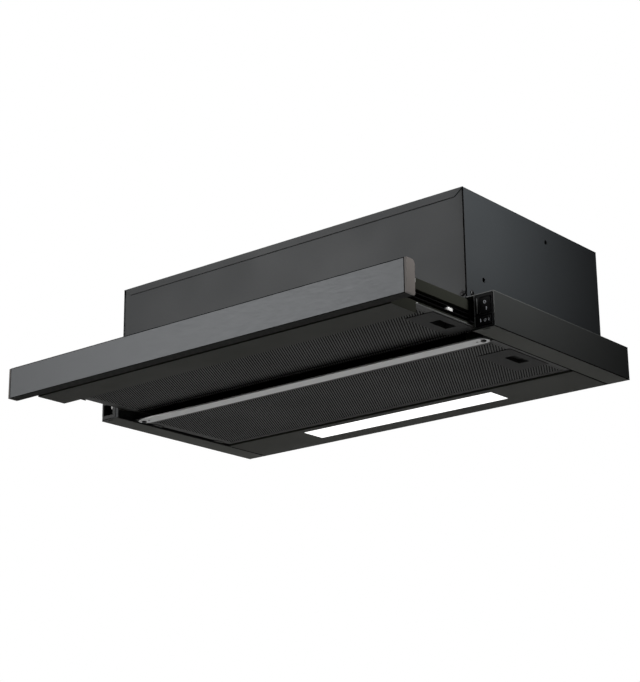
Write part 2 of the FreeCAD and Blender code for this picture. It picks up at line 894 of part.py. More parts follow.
def fascia_cap(hand, label):
    """An end cap: a plate with a rounded corner at the top rear, on a plug inside the panel."""
    corners = [
        (fascia_front, fascia_bottom),
        (fascia_back, fascia_bottom),
        (fascia_back, fascia_top),
        (fascia_front, fascia_top),
    ]
    plate = section("YZ", corners, spread(hand, frame_side - s.cap_thick, frame_side), "Cap")
    high = number_of(fascia_top)
    middle = number_of((fascia_front + fascia_back) / 2)

    def top_rear(edge):
        centre = edge.CenterOfMass
        return along(edge, "X") and centre.z > high / 2 and centre.y > middle

    round_edges(plate, s.cap_round, top_rear)
    inset = s.gauge + s.cap_play
    plug = box(
        spread(hand, frame_side - s.cap_thick - s.cap_plug, frame_side - s.cap_thick),
        (fascia_front + inset, fascia_back - inset),
        (fascia_bottom + inset, fascia_top - inset),
    )
    x = across(hand, frame_side - s.cap_thick - s.cap_screw_in)
    depth = s.screw_length + s.gauge + 2 * s.cap_play
    pilot = screw_hole("Y", x, fascia_back, fascia_bottom + s.cap_screw_up, depth)
    return piece(label, cut(fuse([plate, plug]), [pilot]))


def fascia_screws():
    """The screws that hold the panel to the arms and the caps in the panel."""
    screws = []
    for hand in (-1, 1):
        x = hand * (side - s.arm_screw_in)
        screws.append(screw("Y", -1, x, fascia_back + s.gauge, arm_screw_z))
        x = hand * (frame_side - s.cap_thick - s.cap_screw_in)
        y = fascia_back - s.gauge - s.cap_play
        screws.append(screw("Y", -1, x, y, fascia_bottom + s.cap_screw_up))
    return piece("fascia_screws", group(screws))


def visor_lip():
    """The cross member under the carriage's front: a tray closed at both ends."""
    outer = box((-lip_side, lip_side), (lip_front, lip_rear), (fascia_bottom, arm_bottom))
    inner = box(
        (-lip_side + s.gauge, lip_side - s.gauge),
        (lip_front + s.gauge, lip_rear - s.gauge),
        (fascia_bottom + s.gauge, arm_bottom + s.gauge),
    )
    return piece("visor_lip", cut(outer, [inner]))


def visor_arm(hand, label):
    """A side arm: upper wall, step, recessed web for the slide, flanges and a foot on the front panel."""
    y = (fascia_back + s.gauge, arm_rear)
    wall = s.gauge
    low = arm_bottom
    step = arm_step
    parts = [
        box(spread(hand, side - wall, side), y, (step, arm_top)),
        box(spread(hand, arm_web - wall, side), y, (step, step + wall)),
        box(spread(hand, arm_web - wall, arm_web), y, (low, step + wall)),
        box(spread(hand, arm_web - wall, side), y, (low, low + wall)),
        box(spread(hand, side - s.arm_flange, side), y, (arm_top - wall, arm_top)),
        box(
            spread(hand, side - s.arm_foot, side),
            (fascia_back, fascia_back + wall),
            (arm_top - s.arm_foot_height, arm_top),
        ),
    ]
    if hand < 0:
        filter_low = s.front_filter_bottom - s.hook_gap
        for start in (s.hook_one, s.hook_two):
            hook_y = (lip_rear + start, lip_rear + start + s.hook_length)
            outer = side + s.hook_thick
            parts.append(box((-outer, -side), hook_y, (filter_low - s.hook_thick, low + wall)))
            foot_inner = -side + s.rim_side_gap + s.hook_reach
            foot = box((-outer, foot_inner), hook_y, (filter_low - s.hook_thick, filter_low))
            parts.append(foot)
    hole = screw_hole("Y", across(hand, side - s.arm_screw_in), fascia_back, arm_screw_z, 2 * wall)
    return piece(label, cut(fuse(parts), [hole]))


def visor_cover():
    """The sheet that closes the carriage from above."""
    reach = side - s.cover_side_gap
    start = fascia_back + s.gauge
    sheet = box((-reach, reach), (start, start + s.cover_depth), (arm_top, arm_top + s.cover_thick))
    return piece("visor_cover", group([sheet]))


# ---- filters


def filter_set(name, x_edge, y, bottom, height, rim_side, plate, grip, radius, latch_end, tongues):
    """A filter cassette: frame, perforated face, pad, handle and sprung latch."""
    rear_only = not tongues
    rim_z = (bottom, bottom + s.rim_thick)
    opening_x = x_edge - rim_side
    opening_y = (y[0] + s.rim_end, y[1] - s.rim_end)
    grip_x, grip_y = grip
    cup_x = (grip_x[0] - s.grip_wall, grip_x[1] + s.grip_wall)
    cup_y = (grip_y[0] - s.grip_wall, grip_y[1] + s.grip_wall)
    cup_top = bottom + height - s.rim_thick - s.pad_gap
    wall_z = (bottom + s.rim_thick, bottom + height)
    latch_low = bottom + s.rim_thick + 2 * s.latch_play
    latch_z = (latch_low, latch_low + s.latch_thick)
    latch_middle = (grip_y[0] + grip_y[1]) / 2

    rim = rounded_plate((-x_edge, x_edge), y, rim_z, radius, rear_only, "Rim")
    opening = box((-opening_x, opening_x), opening_y, (bottom - s.gauge, bottom + 2 * s.gauge))
    wall_x = (-opening_x - s.filter_wall, opening_x + s.filter_wall)
    wall_y = (opening_y[0] - s.filter_wall, opening_y[1] + s.filter_wall)
    walls = ring(box(wall_x, wall_y, wall_z), box((-opening_x, opening_x), opening_y, (bottom, roof)))
    parts = [ring(rim, opening), walls]
    if tongues:
        tongue_z = (s.gauge + s.hook_gap, s.gauge + s.hook_gap + s.tongue_thick)
        for start in (y[0] + s.tongue_one, y[1] - s.tongue_two):
            tongue_y = (start, start + s.tongue_length)
            tongue_x = (-rail_inner - s.tongue_reach, -x_edge + s.tongue_reach)
            parts.append(box(tongue_x, tongue_y, tongue_z))
    reach = s.latch_width / 2 + s.latch_play
    path = box(
        (opening_x - s.gauge, x_edge + s.gauge),
        (latch_middle - reach, latch_middle + reach),
        (latch_z[0] - s.latch_play, latch_z[1] + s.latch_play),
    )
    piece(f"{name}_frame", cut(fuse(parts), [path]))

    gap = s.mesh_edge_gap
    cup_hole = box(
        (cup_x[0] - gap, opening_x + s.gauge),
        (cup_y[0] - gap, cup_y[1] + gap),
        (bottom - s.gauge, bottom + height + s.gauge),
    )
    mesh = box(
        (-opening_x + gap, opening_x - gap),
        (opening_y[0] + gap, opening_y[1] - gap),
        (bottom, bottom + s.mesh_thick),
    )
    piece(f"{name}_mesh", cut(mesh, [cup_hole]))
    pad = box(
        (-opening_x + s.pad_gap, opening_x - s.pad_gap),
        (opening_y[0] + s.pad_gap, opening_y[1] - s.pad_gap),
        (bottom + s.mesh_thick, bottom + height - s.pad_gap),
    )
    pad_hole = box(
        (cup_x[0] - s.pad_gap, opening_x + s.gauge),
        (cup_y[0] - s.pad_gap, cup_y[1] + s.pad_gap),
        (bottom - s.gauge, bottom + height + s.gauge),
    )
    piece(f"{name}_pad", cut(pad, [pad_hole]))

    cover = box(*plate, (bottom - s.handle_plate, bottom))
    cup = box(cup_x, cup_y, (bottom, cup_top))
    hollow = box(grip_x, grip_y, (bottom - s.gauge, cup_top - s.grip_wall))
    slide_way = box(
        (grip_x[1] - s.gauge, opening_x + s.gauge),
        (latch_middle - reach, latch_middle + reach),
        (latch_z[0] - s.latch_play, latch_z[1] + s.latch_play),
    )
    piece(f"{name}_handle", cut(fuse([cover, cup]), [hollow, slide_way]))

    thumb_right = grip_x[1] - s.latch_play
    half = s.latch_width / 2
    bar = box((thumb_right - s.thumb_thick, latch_end), (latch_middle - half, latch_middle + half), latch_z)
    half = s.thumb_length / 2
    thumb = box(
        (thumb_right - s.thumb_thick, thumb_right),
        (latch_middle - half, latch_middle + half),
        (bottom + s.latch_play, latch_z[1]),
    )
    piece(f"{name}_latch", fuse([bar, thumb]))


def span(end, length):
    """The two ends of something that stops at a place."""
    return (end - length, end)


def front_filter():
    edge = side - s.rim_side_gap
    front = lip_rear + s.front_filter_gap
    rear = front + s.front_filter_depth
    plate_x = span(edge - s.front_handle_side, s.front_handle_width)
    plate_y = span(rear - s.front_handle_end, s.front_handle_depth)
    grip = plate_y[0] + s.front_grip_in
    filter_set(
        "front_filter",
        edge,
        (front, rear),
        s.front_filter_bottom,
        s.front_filter_height,
        s.front_rim,
        (plate_x, plate_y),
        (span(edge - s.front_grip_side, s.grip_width), (grip, grip + s.grip_length)),
        s.front_filter_round,
        arm_web - s.gauge - s.latch_tip_gap,
        False,
    )


def rear_filter():
    edge = rail_inner - s.rear_filter_side_gap
    front = s.bar_front + s.bar_width + s.rear_filter_bar_gap
    rear = panel_front - s.panel_gap
    plate_x = span(edge - s.rear_handle_side, s.rear_handle_width)
    plate_y = span(rear - s.rear_handle_end, s.rear_handle_depth)
    grip = plate_y[0] + s.rear_grip_in
    filter_set(
        "rear_filter",
        edge,
        (front, rear),
        s.rear_filter_bottom,
        s.rear_filter_height,
        s.rear_rim,
        (plate_x, plate_y),
        (span(edge - s.rear_grip_side, s.grip_width), (grip, grip + s.grip_length)),
        s.rear_filter_round,
        rail_inner - s.latch_tip_gap,
        True,
    )


# ---- switches

switch_left = rail_web + s.gauge + s.switch_web_gap
switch_right = frame_side - s.gauge - s.switch_wall_gap
switch_low = s.gauge + s.switch_floor_gap
switch_high = s.frame_height - s.gauge - s.switch_top_gap
light_up = (s.switch_split + switch_high) / 2 - s.light_rocker_drop
rocker_middle = {
    "light": (switch_right - s.light_rocker_in, light_up),
    "speed": (switch_right - s.speed_rocker_in, switch_low + s.speed_rocker_up),
}


def rocker_shape(kind):
    """Across and up ends of a rocker's well, the rocker's gap included."""
    width = getattr(s, f"{kind}_rocker_width") / 2 + s.rocker_gap
    height = getattr(s, f"{kind}_rocker_height") / 2 + s.rocker_gap
    x, z = rocker_middle[kind]
    return (x - width, x + width), (z - height, z + height)


def switch_box():
    """The switches' common body in the right rail's front end, with a bezel round each rocker."""
    parts = [
        box((switch_left, switch_right), (0, s.switch_depth), (switch_low, switch_high)),
        box(
            (switch_left + s.light_bezel_in, switch_right),
            (-s.light_bezel_proud, 0),
            (s.switch_split, switch_high),
        ),
        box((switch_left, switch_right), (-s.speed_bezel_proud, 0), (switch_low, s.switch_split)),
    ]
    wells = []
    pins = []
    for kind in ("light", "speed"):
        x, z = rocker_shape(kind)
        wells.append(box(x, (-2 * s.speed_bezel_proud, s.well_depth), z))
        across_middle, up_middle = rocker_middle[kind]
        if kind == "light":
            pins.append(rod("X", x[0], s.rocker_pivot, up_middle, s.rocker_pin, x[1] - x[0]))
        else:
            pins.append(rod("Z", across_middle, s.rocker_pivot, z[0], s.rocker_pin, z[1] - z[0]))
    return piece("switch_box", fuse([cut(fuse(parts), wells)] + pins))


def rocker(kind, plane, label, rest):
    """A rocker with a face bent at its middle, bored for its pin and turned to its rest position."""
    width = getattr(s, f"{kind}_rocker_width") / 2
    height = getattr(s, f"{kind}_rocker_height") / 2
    x, z = rocker_middle[kind]
    proud = getattr(s, f"{kind}_bezel_proud")
    swing, half = (height, width) if plane == "YZ" else (width, height)
    rise = math.tan(math.radians(SIZES["rocker_tilt"]))
    face = -proud - s.rocker_pivot
    body = document.addObject("PartDesign::Body", "Rocker")
    sketch = new_sketch(body, plane)
    back = s.rocker_body - s.rocker_pivot
    tip = face - swing * rise
    points = [(face, 0), (tip, swing), (back, swing), (back, -swing), (tip, -swing)]
    if plane == "XY":
        points = [(b, a) for a, b in points]
    outline(sketch, points)
    circle(sketch, 0, 0, s.rocker_pin + s.rocker_pin_clear)
    pad = body.newObject("PartDesign::Pad", "Pad")
    pad.Profile = sketch
    pad.Midplane = True
    bind(pad, "Length", 2 * half)
    body.Placement = Placement(Vector(), rest)
    place(body, x, s.rocker_pivot, z)
    return piece(label, body)


def end_cap_left():
    """The plastic cap in the left rail's front end, with its window."""
    block = box(
        (-frame_side + s.gauge + s.cap_play, -rail_web - s.gauge - s.cap_play),
        (-s.light_bezel_proud, s.cap_left_depth),
        (s.gauge + s.cap_play, s.frame_height - s.gauge - s.cap_play),
    )
    window_left = -frame_side + s.cap_window_in
    window = box(
        (window_left, window_left + s.cap_window_width),
        (-2 * s.light_bezel_proud, s.cap_left_depth - s.gauge),
        (s.cap_window_low, s.cap_window_high),
    )
    return piece("end_cap_left", cut(block, [window]))


# ---- blower

wheel_radius = scroll_radius - s.scroll_wall - s.wheel_gap
wheel_inner = wheel_radius - s.blade_depth
wheel_end = s.wheel_start + s.wheel_width
wheel_disc = s.motor_half + s.boss_length + s.wheel_disc_gap
scroll_end = wheel_end + s.scroll_end_gap + s.scroll_wall


def scroll(hand, label):
    """Half of the scroll: a drum with an inlet in its end and half of the outlet on top."""
    start = s.scroll_split
    end = scroll_end
    wall = s.scroll_wall
    high = roof - s.gauge
    outlet_deep = scroll_radius - s.outlet_side_gap

    def drum(a, b, radius):
        x = spread(hand, a, b)
        return rod("X", x[0], duct_y, fan_z, radius, b - a)

    def outlet(a, b, half, low, top):
        return box(spread(hand, a, b), (duct_y - half, duct_y + half), (low, top))

    solid = fuse(
        [
            drum(start, end, scroll_radius),
            outlet(start, s.outlet_half_width, outlet_deep, fan_z, high),
        ]
    )
    below = start - s.gauge
    hollow = [
        drum(below, end - wall, scroll_radius - wall),
        outlet(below, s.outlet_half_width - wall, outlet_deep - wall, fan_z, roof),
        drum(end - 2 * wall, end + wall, wheel_inner - s.inlet_lap),
    ]
    return piece(label, cut(solid, hollow))


def motor():
    """The motor with its mounting flange and a bearing boss at each end."""
    half = s.motor_half
    parts = [
        rod("X", -half, duct_y, fan_z, s.motor_radius, 2 * half),
        rod("X", s.scroll_split, duct_y, fan_z, s.motor_flange, s.scroll_wall),
        rod("X", -half - s.boss_length, duct_y, fan_z, s.boss_radius, 2 * (half + s.boss_length)),
    ]
    bore_half = half + s.boss_length + s.gauge
    bore = rod("X", -bore_half, duct_y, fan_z, s.shaft_radius + s.shaft_clear, 2 * bore_half)
    return piece("motor", cut(fuse(parts), [bore]))


def motor_bracket():
    """The spider between the scroll halves: two rings and three arms."""
    start = -s.scroll_split
    length = 2 * s.scroll_split

    def disc(radius):
        return rod("X", start, duct_y, fan_z, radius, length)

    outer = ring(disc(scroll_radius), disc(scroll_radius - s.bracket_ring))
    inner = ring(disc(s.motor_flange), disc(s.motor_radius + s.wheel_clear))
    arms = []
    for turn in (90, 210, 330):
        arm = document.addObject("Part::Box", "Arm")
        bind(arm, "Length", length)
        bind(arm, "Width", scroll_radius - s.motor_flange)
        bind(arm, "Height", s.bracket_arm)
        turned = Rotation(Vector(1, 0, 0), turn)
        arm.Placement = Placement(Vector(), turned)
        out = turned.multVec(Vector(0, 1, 0))
        up = turned.multVec(Vector(0, 0, 1))
        reach = s.motor_flange - s.gauge
        y = duct_y + out.y * reach - up.y * s.bracket_arm / 2
        z = fan_z + out.z * reach - up.z * s.bracket_arm / 2
        place(arm, start, y, z)
        arms.append(arm)
    return piece("motor_bracket", fuse([outer, inner] + arms))


def motor_shaft():
    shaft = rod("X", -wheel_end, duct_y, fan_z, s.shaft_radius, 2 * wheel_end)
    return piece("motor_shaft", group([shaft]))


def impeller(hand, label):
    """A drum impeller: a disc on a hub, a ring of leaning blades and a rim at each end."""
    body = document.addObject("PartDesign::Body", "Wheel")

    def disc(name, start, length, radius, bore):
        sketch = new_sketch(body, "YZ", name)
        sketch.AttachmentOffset = Placement(Vector(0, 0, number_of(start)), Rotation())
        bind(sketch, "AttachmentOffset.Base.z", start)
        circle(sketch, 0, 0, radius)
        circle(sketch, 0, 0, bore)
        pad = body.newObject("PartDesign::Pad", name + "Pad")
        pad.Profile = sketch
        bind(pad, "Length", length)
        return pad

    bore = s.shaft_radius + s.shaft_clear
    disc("Disc", wheel_disc, s.wheel_disc_thick, wheel_radius, bore)
    disc("Hub", wheel_disc, s.wheel_hub_length, s.wheel_hub_radius, bore)
    blade = new_sketch(body, "YZ", "Blade")
    blade.AttachmentOffset = Placement(Vector(0, 0, SIZES["wheel_start"]), Rotation())
    bind(blade, "AttachmentOffset.Base.z", s.wheel_start)
    inner = wheel_inner + s.blade_inset
    outer = wheel_radius - s.blade_inset
    thick = s.blade_thick
    lean = s.blade_lean
    outline(blade, [(0, inner), (lean, outer), (lean + thick, outer), (thick, inner)])
    pad = body.newObject("PartDesign::Pad", "BladePad")
    pad.Profile = blade
    bind(pad, "Length", s.wheel_width)
    document.recompute()
    pattern = body.newObject("PartDesign::PolarPattern", "Blades")
    pattern.Originals = [pad]
    pattern.Axis = (blade, ["N_Axis"])
    pattern.Angle = 360
    pattern.Occurrences = int(SIZES["blade_count"])
    body.Tip = pattern
    document.recompute()
    disc("NearRim", s.wheel_start, s.wheel_rim, wheel_radius, wheel_inner)
    disc("FarRim", wheel_end - s.wheel_rim, s.wheel_rim, wheel_radius, wheel_inner)
    body.Placement = Placement(Vector(), Rotation(Vector(0, 0, 1), 0 if hand > 0 else 180))
    place(body, 0, duct_y, fan_z)
    return piece(label, body)


# ---- duct collar

spindle_z = roof + s.spindle_up
spigot_bore = s.spigot_radius - s.spigot_wall


def outlet_collar():
    """The duct collar: a flange on the housing's top and the spigot that the duct slips over."""
    flange = rod("Z", 0, duct_y, roof, s.spigot_radius + s.collar_brim, s.collar_flange_thick)
    spigot = rod("Z", 0, duct_y, roof, s.spigot_radius, s.spigot_height)
    bore = rod("Z", 0, duct_y, roof - s.gauge, spigot_bore, s.spigot_height + 2 * s.gauge)
    reach = s.spigot_radius + s.gauge
    pin_hole = rod("X", -reach, duct_y, spindle_z, s.spindle_radius + s.knuckle_clear, 2 * reach)
    holes = [bore, pin_hole]
    for x, y in collar_screw_places():
        holes.append(screw_hole("Z", x, y, roof, 2 * s.collar_flange_thick))
    return piece("outlet_collar", cut(fuse([flange, spigot]), holes))


def collar_screws():
    screws = [screw("Z", -1, x, y, duct_seat) for x, y in collar_screw_places()]
    return piece("collar_screws", group(screws))


def flap_spindle():
    reach = s.spigot_radius - s.spindle_end_gap
    spindle = rod("X", -reach, duct_y, spindle_z, s.spindle_radius, 2 * reach)
    return piece("flap_spindle", group([spindle]))


def flap(hand, label):
    """A half round flap with two knuckles on the spindle; the other flap's knuckles lie between."""
    half = s.flap_thick / 2
    disc = rod("Z", 0, duct_y, spindle_z - half, spigot_bore - s.flap_gap, s.flap_thick)
    split = s.flap_split
    reach = s.spigot_radius
    keep = (duct_y + split, duct_y + reach) if hand > 0 else (duct_y - reach, duct_y - split)
    blank = document.addObject("Part::Common", "HalfDisc")
    blank.Base = disc
    blank.Tool = box((-reach, reach), keep, (spindle_z - s.flap_thick, spindle_z + s.flap_thick))
    parts = [blank]
    bores = []
    length = s.knuckle_length
    starts = (-3 * length, 2 * length) if hand > 0 else (-1.5 * length, 0.5 * length)
    for x in starts:
        parts.append(rod("X", x, duct_y, spindle_z, s.knuckle_radius, length))
        web = (duct_y, duct_y + split + s.gauge) if hand > 0 else (duct_y - split - s.gauge, duct_y)
        parts.append(box((x, x + length), web, (spindle_z - half, spindle_z + half)))
        bore_radius = s.spindle_radius + s.knuckle_clear
        bores.append(rod("X", x - s.gauge, duct_y, spindle_z, bore_radius, length + 2 * s.gauge))
    return piece(label, cut(fuse(parts), bores))


# ---- electrics

gland_x = side - s.gland_in
gland_y = s.hood_depth - s.gland_from_back
terminal_x = (side - s.terminal_in - s.terminal_width, side - s.terminal_in)


def terminal_box():
    """The open box for the mains connections, on the back wall."""
    y = (s.hood_depth - s.gauge - s.terminal_depth, s.hood_depth - s.gauge)
    x = terminal_x
    low = shell_low + s.terminal_up
    z = (low, low + s.terminal_height)
    wall = s.terminal_wall
    inside = box((x[0] + wall, x[1] - wall), (y[0] - wall, y[1] - wall), (z[0] + wall, z[1] - wall))
    piece("terminal_box", cut(box(x, y, z), [inside]))
    lid = box(x, (y[0] - wall, y[0]), z)
    inset = wall + s.lid_lip_gap
    lip = box((x[0] + inset, x[1] - inset), (y[0], y[0] + wall), (z[0] + inset, z[1] - inset))
    piece("terminal_box_lid", fuse([lid, lip]))


def capacitor():
    back = s.hood_depth - s.gauge
    start = back - s.capacitor_length
    x = terminal_x[0] - s.capacitor_gap - s.capacitor_radius
    z = shell_low + s.capacitor_up
    body = rod("Y", x, start, z, s.capacitor_radius, s.capacitor_length)
    neck = rod("Y", x, start - 2 * s.gauge, z, s.capacitor_neck, 3 * s.gauge)
    return piece("capacitor", fuse([body, neck]))


def led_driver():
    back = s.hood_depth - s.gauge
    low = shell_low + s.driver_up
    x = (-side + s.driver_in, -side + s.driver_in + s.driver_width)
    block = box(x, (back - s.driver_depth, back), (low, low + s.driver_height))
    return piece("led_driver", group([block]))


def cable_gland():
    """The bush in the top that the mains lead comes through."""
    low = roof - s.gland_below
    length = s.gland_below + s.gland_above
    bush = rod("Z", gland_x, gland_y, low, s.gland_radius, length)
    rim = rod("Z", gland_x, gland_y, roof, s.gland_rim, s.gland_rim_thick)
    bore = rod("Z", gland_x, gland_y, low - s.gauge, s.gland_bore, length + 2 * s.gauge)
    return piece("cable_gland", cut(fuse([bush, rim]), [bore]))


stop_switch_x = (rail_web - s.stop_switch_web_gap - s.stop_switch_width, rail_web - s.stop_switch_web_gap)
lever_x = stop_switch_x[0] - s.lever_reach
lever_y = arm_rear + travel + s.stop_switch_gap
lever_top = s.frame_height - s.gauge - s.lever_knuckle - 2 * s.lever_clear


def microswitch():
    """The switch under the right rail's ledge, with the pin of its lever."""
    x = stop_switch_x
    high = s.frame_height - s.gauge
    y = lever_y + 2 * s.lever_knuckle
    body = box(x, (y, y + s.stop_switch_length), (high - s.stop_switch_height, high))
    ear = box((x[1] - 2 * s.gauge, x[1]), (lever_y - s.lever_knuckle, y), (high - 2 * s.lever_knuckle, high))
    pin = rod("X", lever_x, lever_y + s.lever_knuckle, lever_top, s.lever_pin, x[1] - lever_x)
    return piece("microswitch", fuse([body, ear, pin]))


def microswitch_lever():
    """The lever that the closed carriage's arm comes up to."""
    x = (lever_x, stop_switch_x[1] - 3 * s.gauge)
    centre = lever_y + s.lever_knuckle
    knuckle = rod("X", x[0], centre, lever_top, s.lever_knuckle, x[1] - x[0])
    leaf = box(x, (lever_y, lever_y + s.lever_thick), (lever_top - s.lever_height, lever_top))
    bore = rod("X", x[0] - s.gauge, centre, lever_top, s.lever_pin + s.lever_clear, x[1] - x[0] + 2 * s.gauge)
    return piece("microswitch_lever", cut(fuse([knuckle, leaf]), [bore]))


# ---- the whole hood

housing_wrap()
housing_top()
housing_front_plate()
housing_screws()
rail(1, "rail_right")
rail(-1, "rail_left")
cross_bar()
cross_bar_screws()
rear_panel()
light_lens()
light_tray()
led_board()
slide_outer(1, "slide_outer_right")
slide_outer(-1, "slide_outer_left")
slide_inner(1, "slide_inner_right")
slide_inner(-1, "slide_inner_left")
ball_cage(1, "ball_cage_right")
ball_cage(-1, "ball_cage_left")
fascia()
fascia_cap(1, "fascia_cap_right")
fascia_cap(-1, "fascia_cap_left")
fascia_screws()
visor_lip()
visor_arm(1, "visor_arm_right")
visor_arm(-1, "visor_arm_left")
visor_cover()
front_filter()
rear_filter()
switch_box()
rocker("light", "YZ", "light_rocker", Rotation(Vector(1, 0, 0), SIZES["rocker_tilt"]))
rocker("speed", "XY", "speed_rocker", Rotation())
end_cap_left()
scroll(1, "scroll_right")
scroll(-1, "scroll_left")
motor()
motor_bracket()
motor_shaft()
impeller(1, "impeller_right")
impeller(-1, "impeller_left")
outlet_collar()
collar_screws()
flap_spindle()
flap(1, "flap_rear")
flap(-1, "flap_front")
terminal_box()
capacitor()
led_driver()
cable_gland()
microswitch()
microswitch_lever()

document.recompute()
failed = [item.Name for item in document.Objects if {"Invalid", "Error"} & set(item.State)]
if failed:
    raise SystemExit(f"objects that failed: {failed}")
for item in pieces:
    if item.Shape.isNull() or not item.Shape.isValid() or not item.Shape.Solids:
        raise SystemExit(f"{item.Label} has no valid solid")

os.makedirs("parts", exist_ok=True)
for item in pieces:
    item.Shape.exportStep(f"parts/{item.Label}.step")
print(len(pieces), "pieces written; carriage travel", number_of(travel), "mm")
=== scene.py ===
import json
import math

import bmesh
import bpy
from mathutils import Matrix, Vector
from mathutils.bvhtree import BVHTree


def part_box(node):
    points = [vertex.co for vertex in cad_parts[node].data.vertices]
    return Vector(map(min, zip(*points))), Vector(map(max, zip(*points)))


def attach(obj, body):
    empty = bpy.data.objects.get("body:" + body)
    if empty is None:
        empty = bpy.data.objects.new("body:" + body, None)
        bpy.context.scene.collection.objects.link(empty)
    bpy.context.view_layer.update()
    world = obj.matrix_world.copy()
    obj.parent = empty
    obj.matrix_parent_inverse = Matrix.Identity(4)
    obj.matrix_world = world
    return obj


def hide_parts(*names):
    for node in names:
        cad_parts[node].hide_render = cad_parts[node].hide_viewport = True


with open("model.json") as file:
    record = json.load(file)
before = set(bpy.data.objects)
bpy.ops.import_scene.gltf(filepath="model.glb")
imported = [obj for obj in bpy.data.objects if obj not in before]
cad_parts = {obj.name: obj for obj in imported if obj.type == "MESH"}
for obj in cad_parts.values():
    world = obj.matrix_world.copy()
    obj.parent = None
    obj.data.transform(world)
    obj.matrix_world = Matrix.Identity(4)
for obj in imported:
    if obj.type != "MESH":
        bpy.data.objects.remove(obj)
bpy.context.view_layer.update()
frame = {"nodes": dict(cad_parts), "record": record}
bodyOf = {node: body for body, nodes in frame["record"]["behaviour"]["bodies"].items() for node in nodes}
slotOf = {part["node"]: part["material_slot"] for part in frame["record"]["subparts"]}
mm = 0.001
print("frame loaded:", len(bodyOf), "nodes")


def at(x, y, z):
    # the hood's layout in millimetres: right, back from the rails' front, up from their underside
    return Vector((x, y - 140, z - 171)) * mm


# shader wires with arithmetic
class Wire:
    def __init__(self, maker, socket):
        self.maker = maker
        self.socket = socket

    def __add__(self, other):
        return self.maker.maths("ADD", self, other)

    def __radd__(self, other):
        return self.maker.maths("ADD", other, self)

    def __mul__(self, other):
        return self.maker.maths("MULTIPLY", self, other)

    def __rmul__(self, other):
        return self.maker.maths("MULTIPLY", other, self)


# makes every node of a tree by one method
class NodeMaker:
    def __init__(self, tree):
        self.tree = tree

    def node(self, kind, settings=None, inputs=None, output=0):
        made = self.tree.nodes.new(kind)
        for setting, value in (settings or {}).items():
            if setting == "stops":
                elements = made.color_ramp.elements
                while len(elements) < len(value):
                    elements.new(0.5)
                for element, (place, shade) in zip(elements, value):
                    element.position = place
                    element.color = (*shade, 1)
            else:
                setattr(made, setting, value)
        for socket, value in (inputs or {}).items():
            self.feed(made.inputs[socket], value)
        return Wire(self, made.outputs[output]) if made.outputs else None

    def feed(self, socket, value):
        if isinstance(value, Wire):
            self.tree.links.new(value.socket, socket)
        elif socket.type == "RGBA" and len(value) == 3:
            socket.default_value = (*value, 1)
        else:
            socket.default_value = value

    def maths(self, operation, first, second):
        return self.node("ShaderNodeMath", {"operation": operation}, {0: first, 1: second})


# a material with the patterns that the finishes share
class Paint(NodeMaker):
    def __init__(self, name, colour, **constants):
        self.material = bpy.data.materials.new(name)
        self.material.use_nodes = True
        self.material.diffuse_color = (*colour, 1)
        super().__init__(self.material.node_tree)
        self.colour = colour
        self.shader = self.tree.nodes["Principled BSDF"]
        self.shader.inputs["Base Color"].default_value = (*colour, 1)
        for socket, value in constants.items():
            self.shader.inputs[socket.replace("_", " ")].default_value = value

    def where(self, stretch=(1, 1, 1)):
        place = self.node("ShaderNodeTexCoord", output=3)
        return self.node("ShaderNodeMapping", None, {"Vector": place, "Scale": stretch})

    def noise(self, scale, detail=2.0, stretch=(1, 1, 1)):
        inputs = {"Vector": self.where(stretch), "Scale": scale, "Detail": detail}
        return self.node("ShaderNodeTexNoise", None, inputs)

    def spread(self, value, low, high):
        # a noise value brought between two limits
        inputs = {"Value": value, 1: 0.3, 2: 0.7, 3: low, 4: high}
        return self.node("ShaderNodeMapRange", None, inputs)

    def tint(self, value, change):
        # the base colour made a little darker and lighter by a noise value
        dark = tuple(c * (1 - change) for c in self.colour)
        light = tuple(min(1, c * (1 + change)) for c in self.colour)
        factor = self.spread(value, 0.0, 1.0)
        inputs = {"Factor": factor, 6: dark, 7: light}
        mixed = self.node("ShaderNodeMix", {"data_type": "RGBA"}, inputs, 2)
        self.feed(self.shader.inputs["Base Color"], mixed)

    def rough(self, value, low, high):
        self.feed(self.shader.inputs["Roughness"], self.spread(value, low, high))

    def bump(self, height, strength, distance):
        inputs = {"Height": height, "Strength": strength, "Distance": distance}
        self.feed(self.shader.inputs["Normal"], self.node("ShaderNodeBump", None, inputs))


def satinPaint(name, colour, rough=0.42, specular=0.4, sheen=(1, 1, 1)):
    # powder coat: faint orange peel about a millimetre across, and slightly uneven gloss
    paint = Paint(name, colour, Specular_IOR_Level=specular, Specular_Tint=(*sheen, 1))
    peel = paint.noise(700, 3)
    cloud = paint.noise(9, 4)
    paint.tint(peel * 0.5 + cloud * 0.5, 0.06)
    paint.rough(cloud, rough - 0.04, rough + 0.04)
    paint.bump(peel, 0.06, 0.00012)
    return paint


def brushedMetal(name, colour, metallic, rough, along=(1, 60, 60), change=0.1, specular=0.5):
    # fine scratches drawn out along one axis
    paint = Paint(name, colour, Metallic=metallic, Specular_IOR_Level=specular)
    line = paint.noise(90, 3, along)
    cloud = paint.noise(7, 3)
    paint.tint(line * 0.8 + cloud * 0.2, change)
    paint.rough(line, rough - 0.06, rough + 0.06)
    paint.bump(line, 0.08, 0.0001)
    return paint


def mouldedPlastic(name, colour, rough=0.5, grain=1500, specular=0.4, change=0.08):
    # moulded plastic with a spark-eroded grain
    paint = Paint(name, colour, Specular_IOR_Level=specular)
    pores = paint.noise(grain, 2)
    cloud = paint.noise(14, 3)
    paint.tint(pores * 0.5 + cloud * 0.5, change)
    paint.rough(pores, rough - 0.07, rough + 0.07)
    paint.bump(pores, 0.12, 0.0001)
    return paint


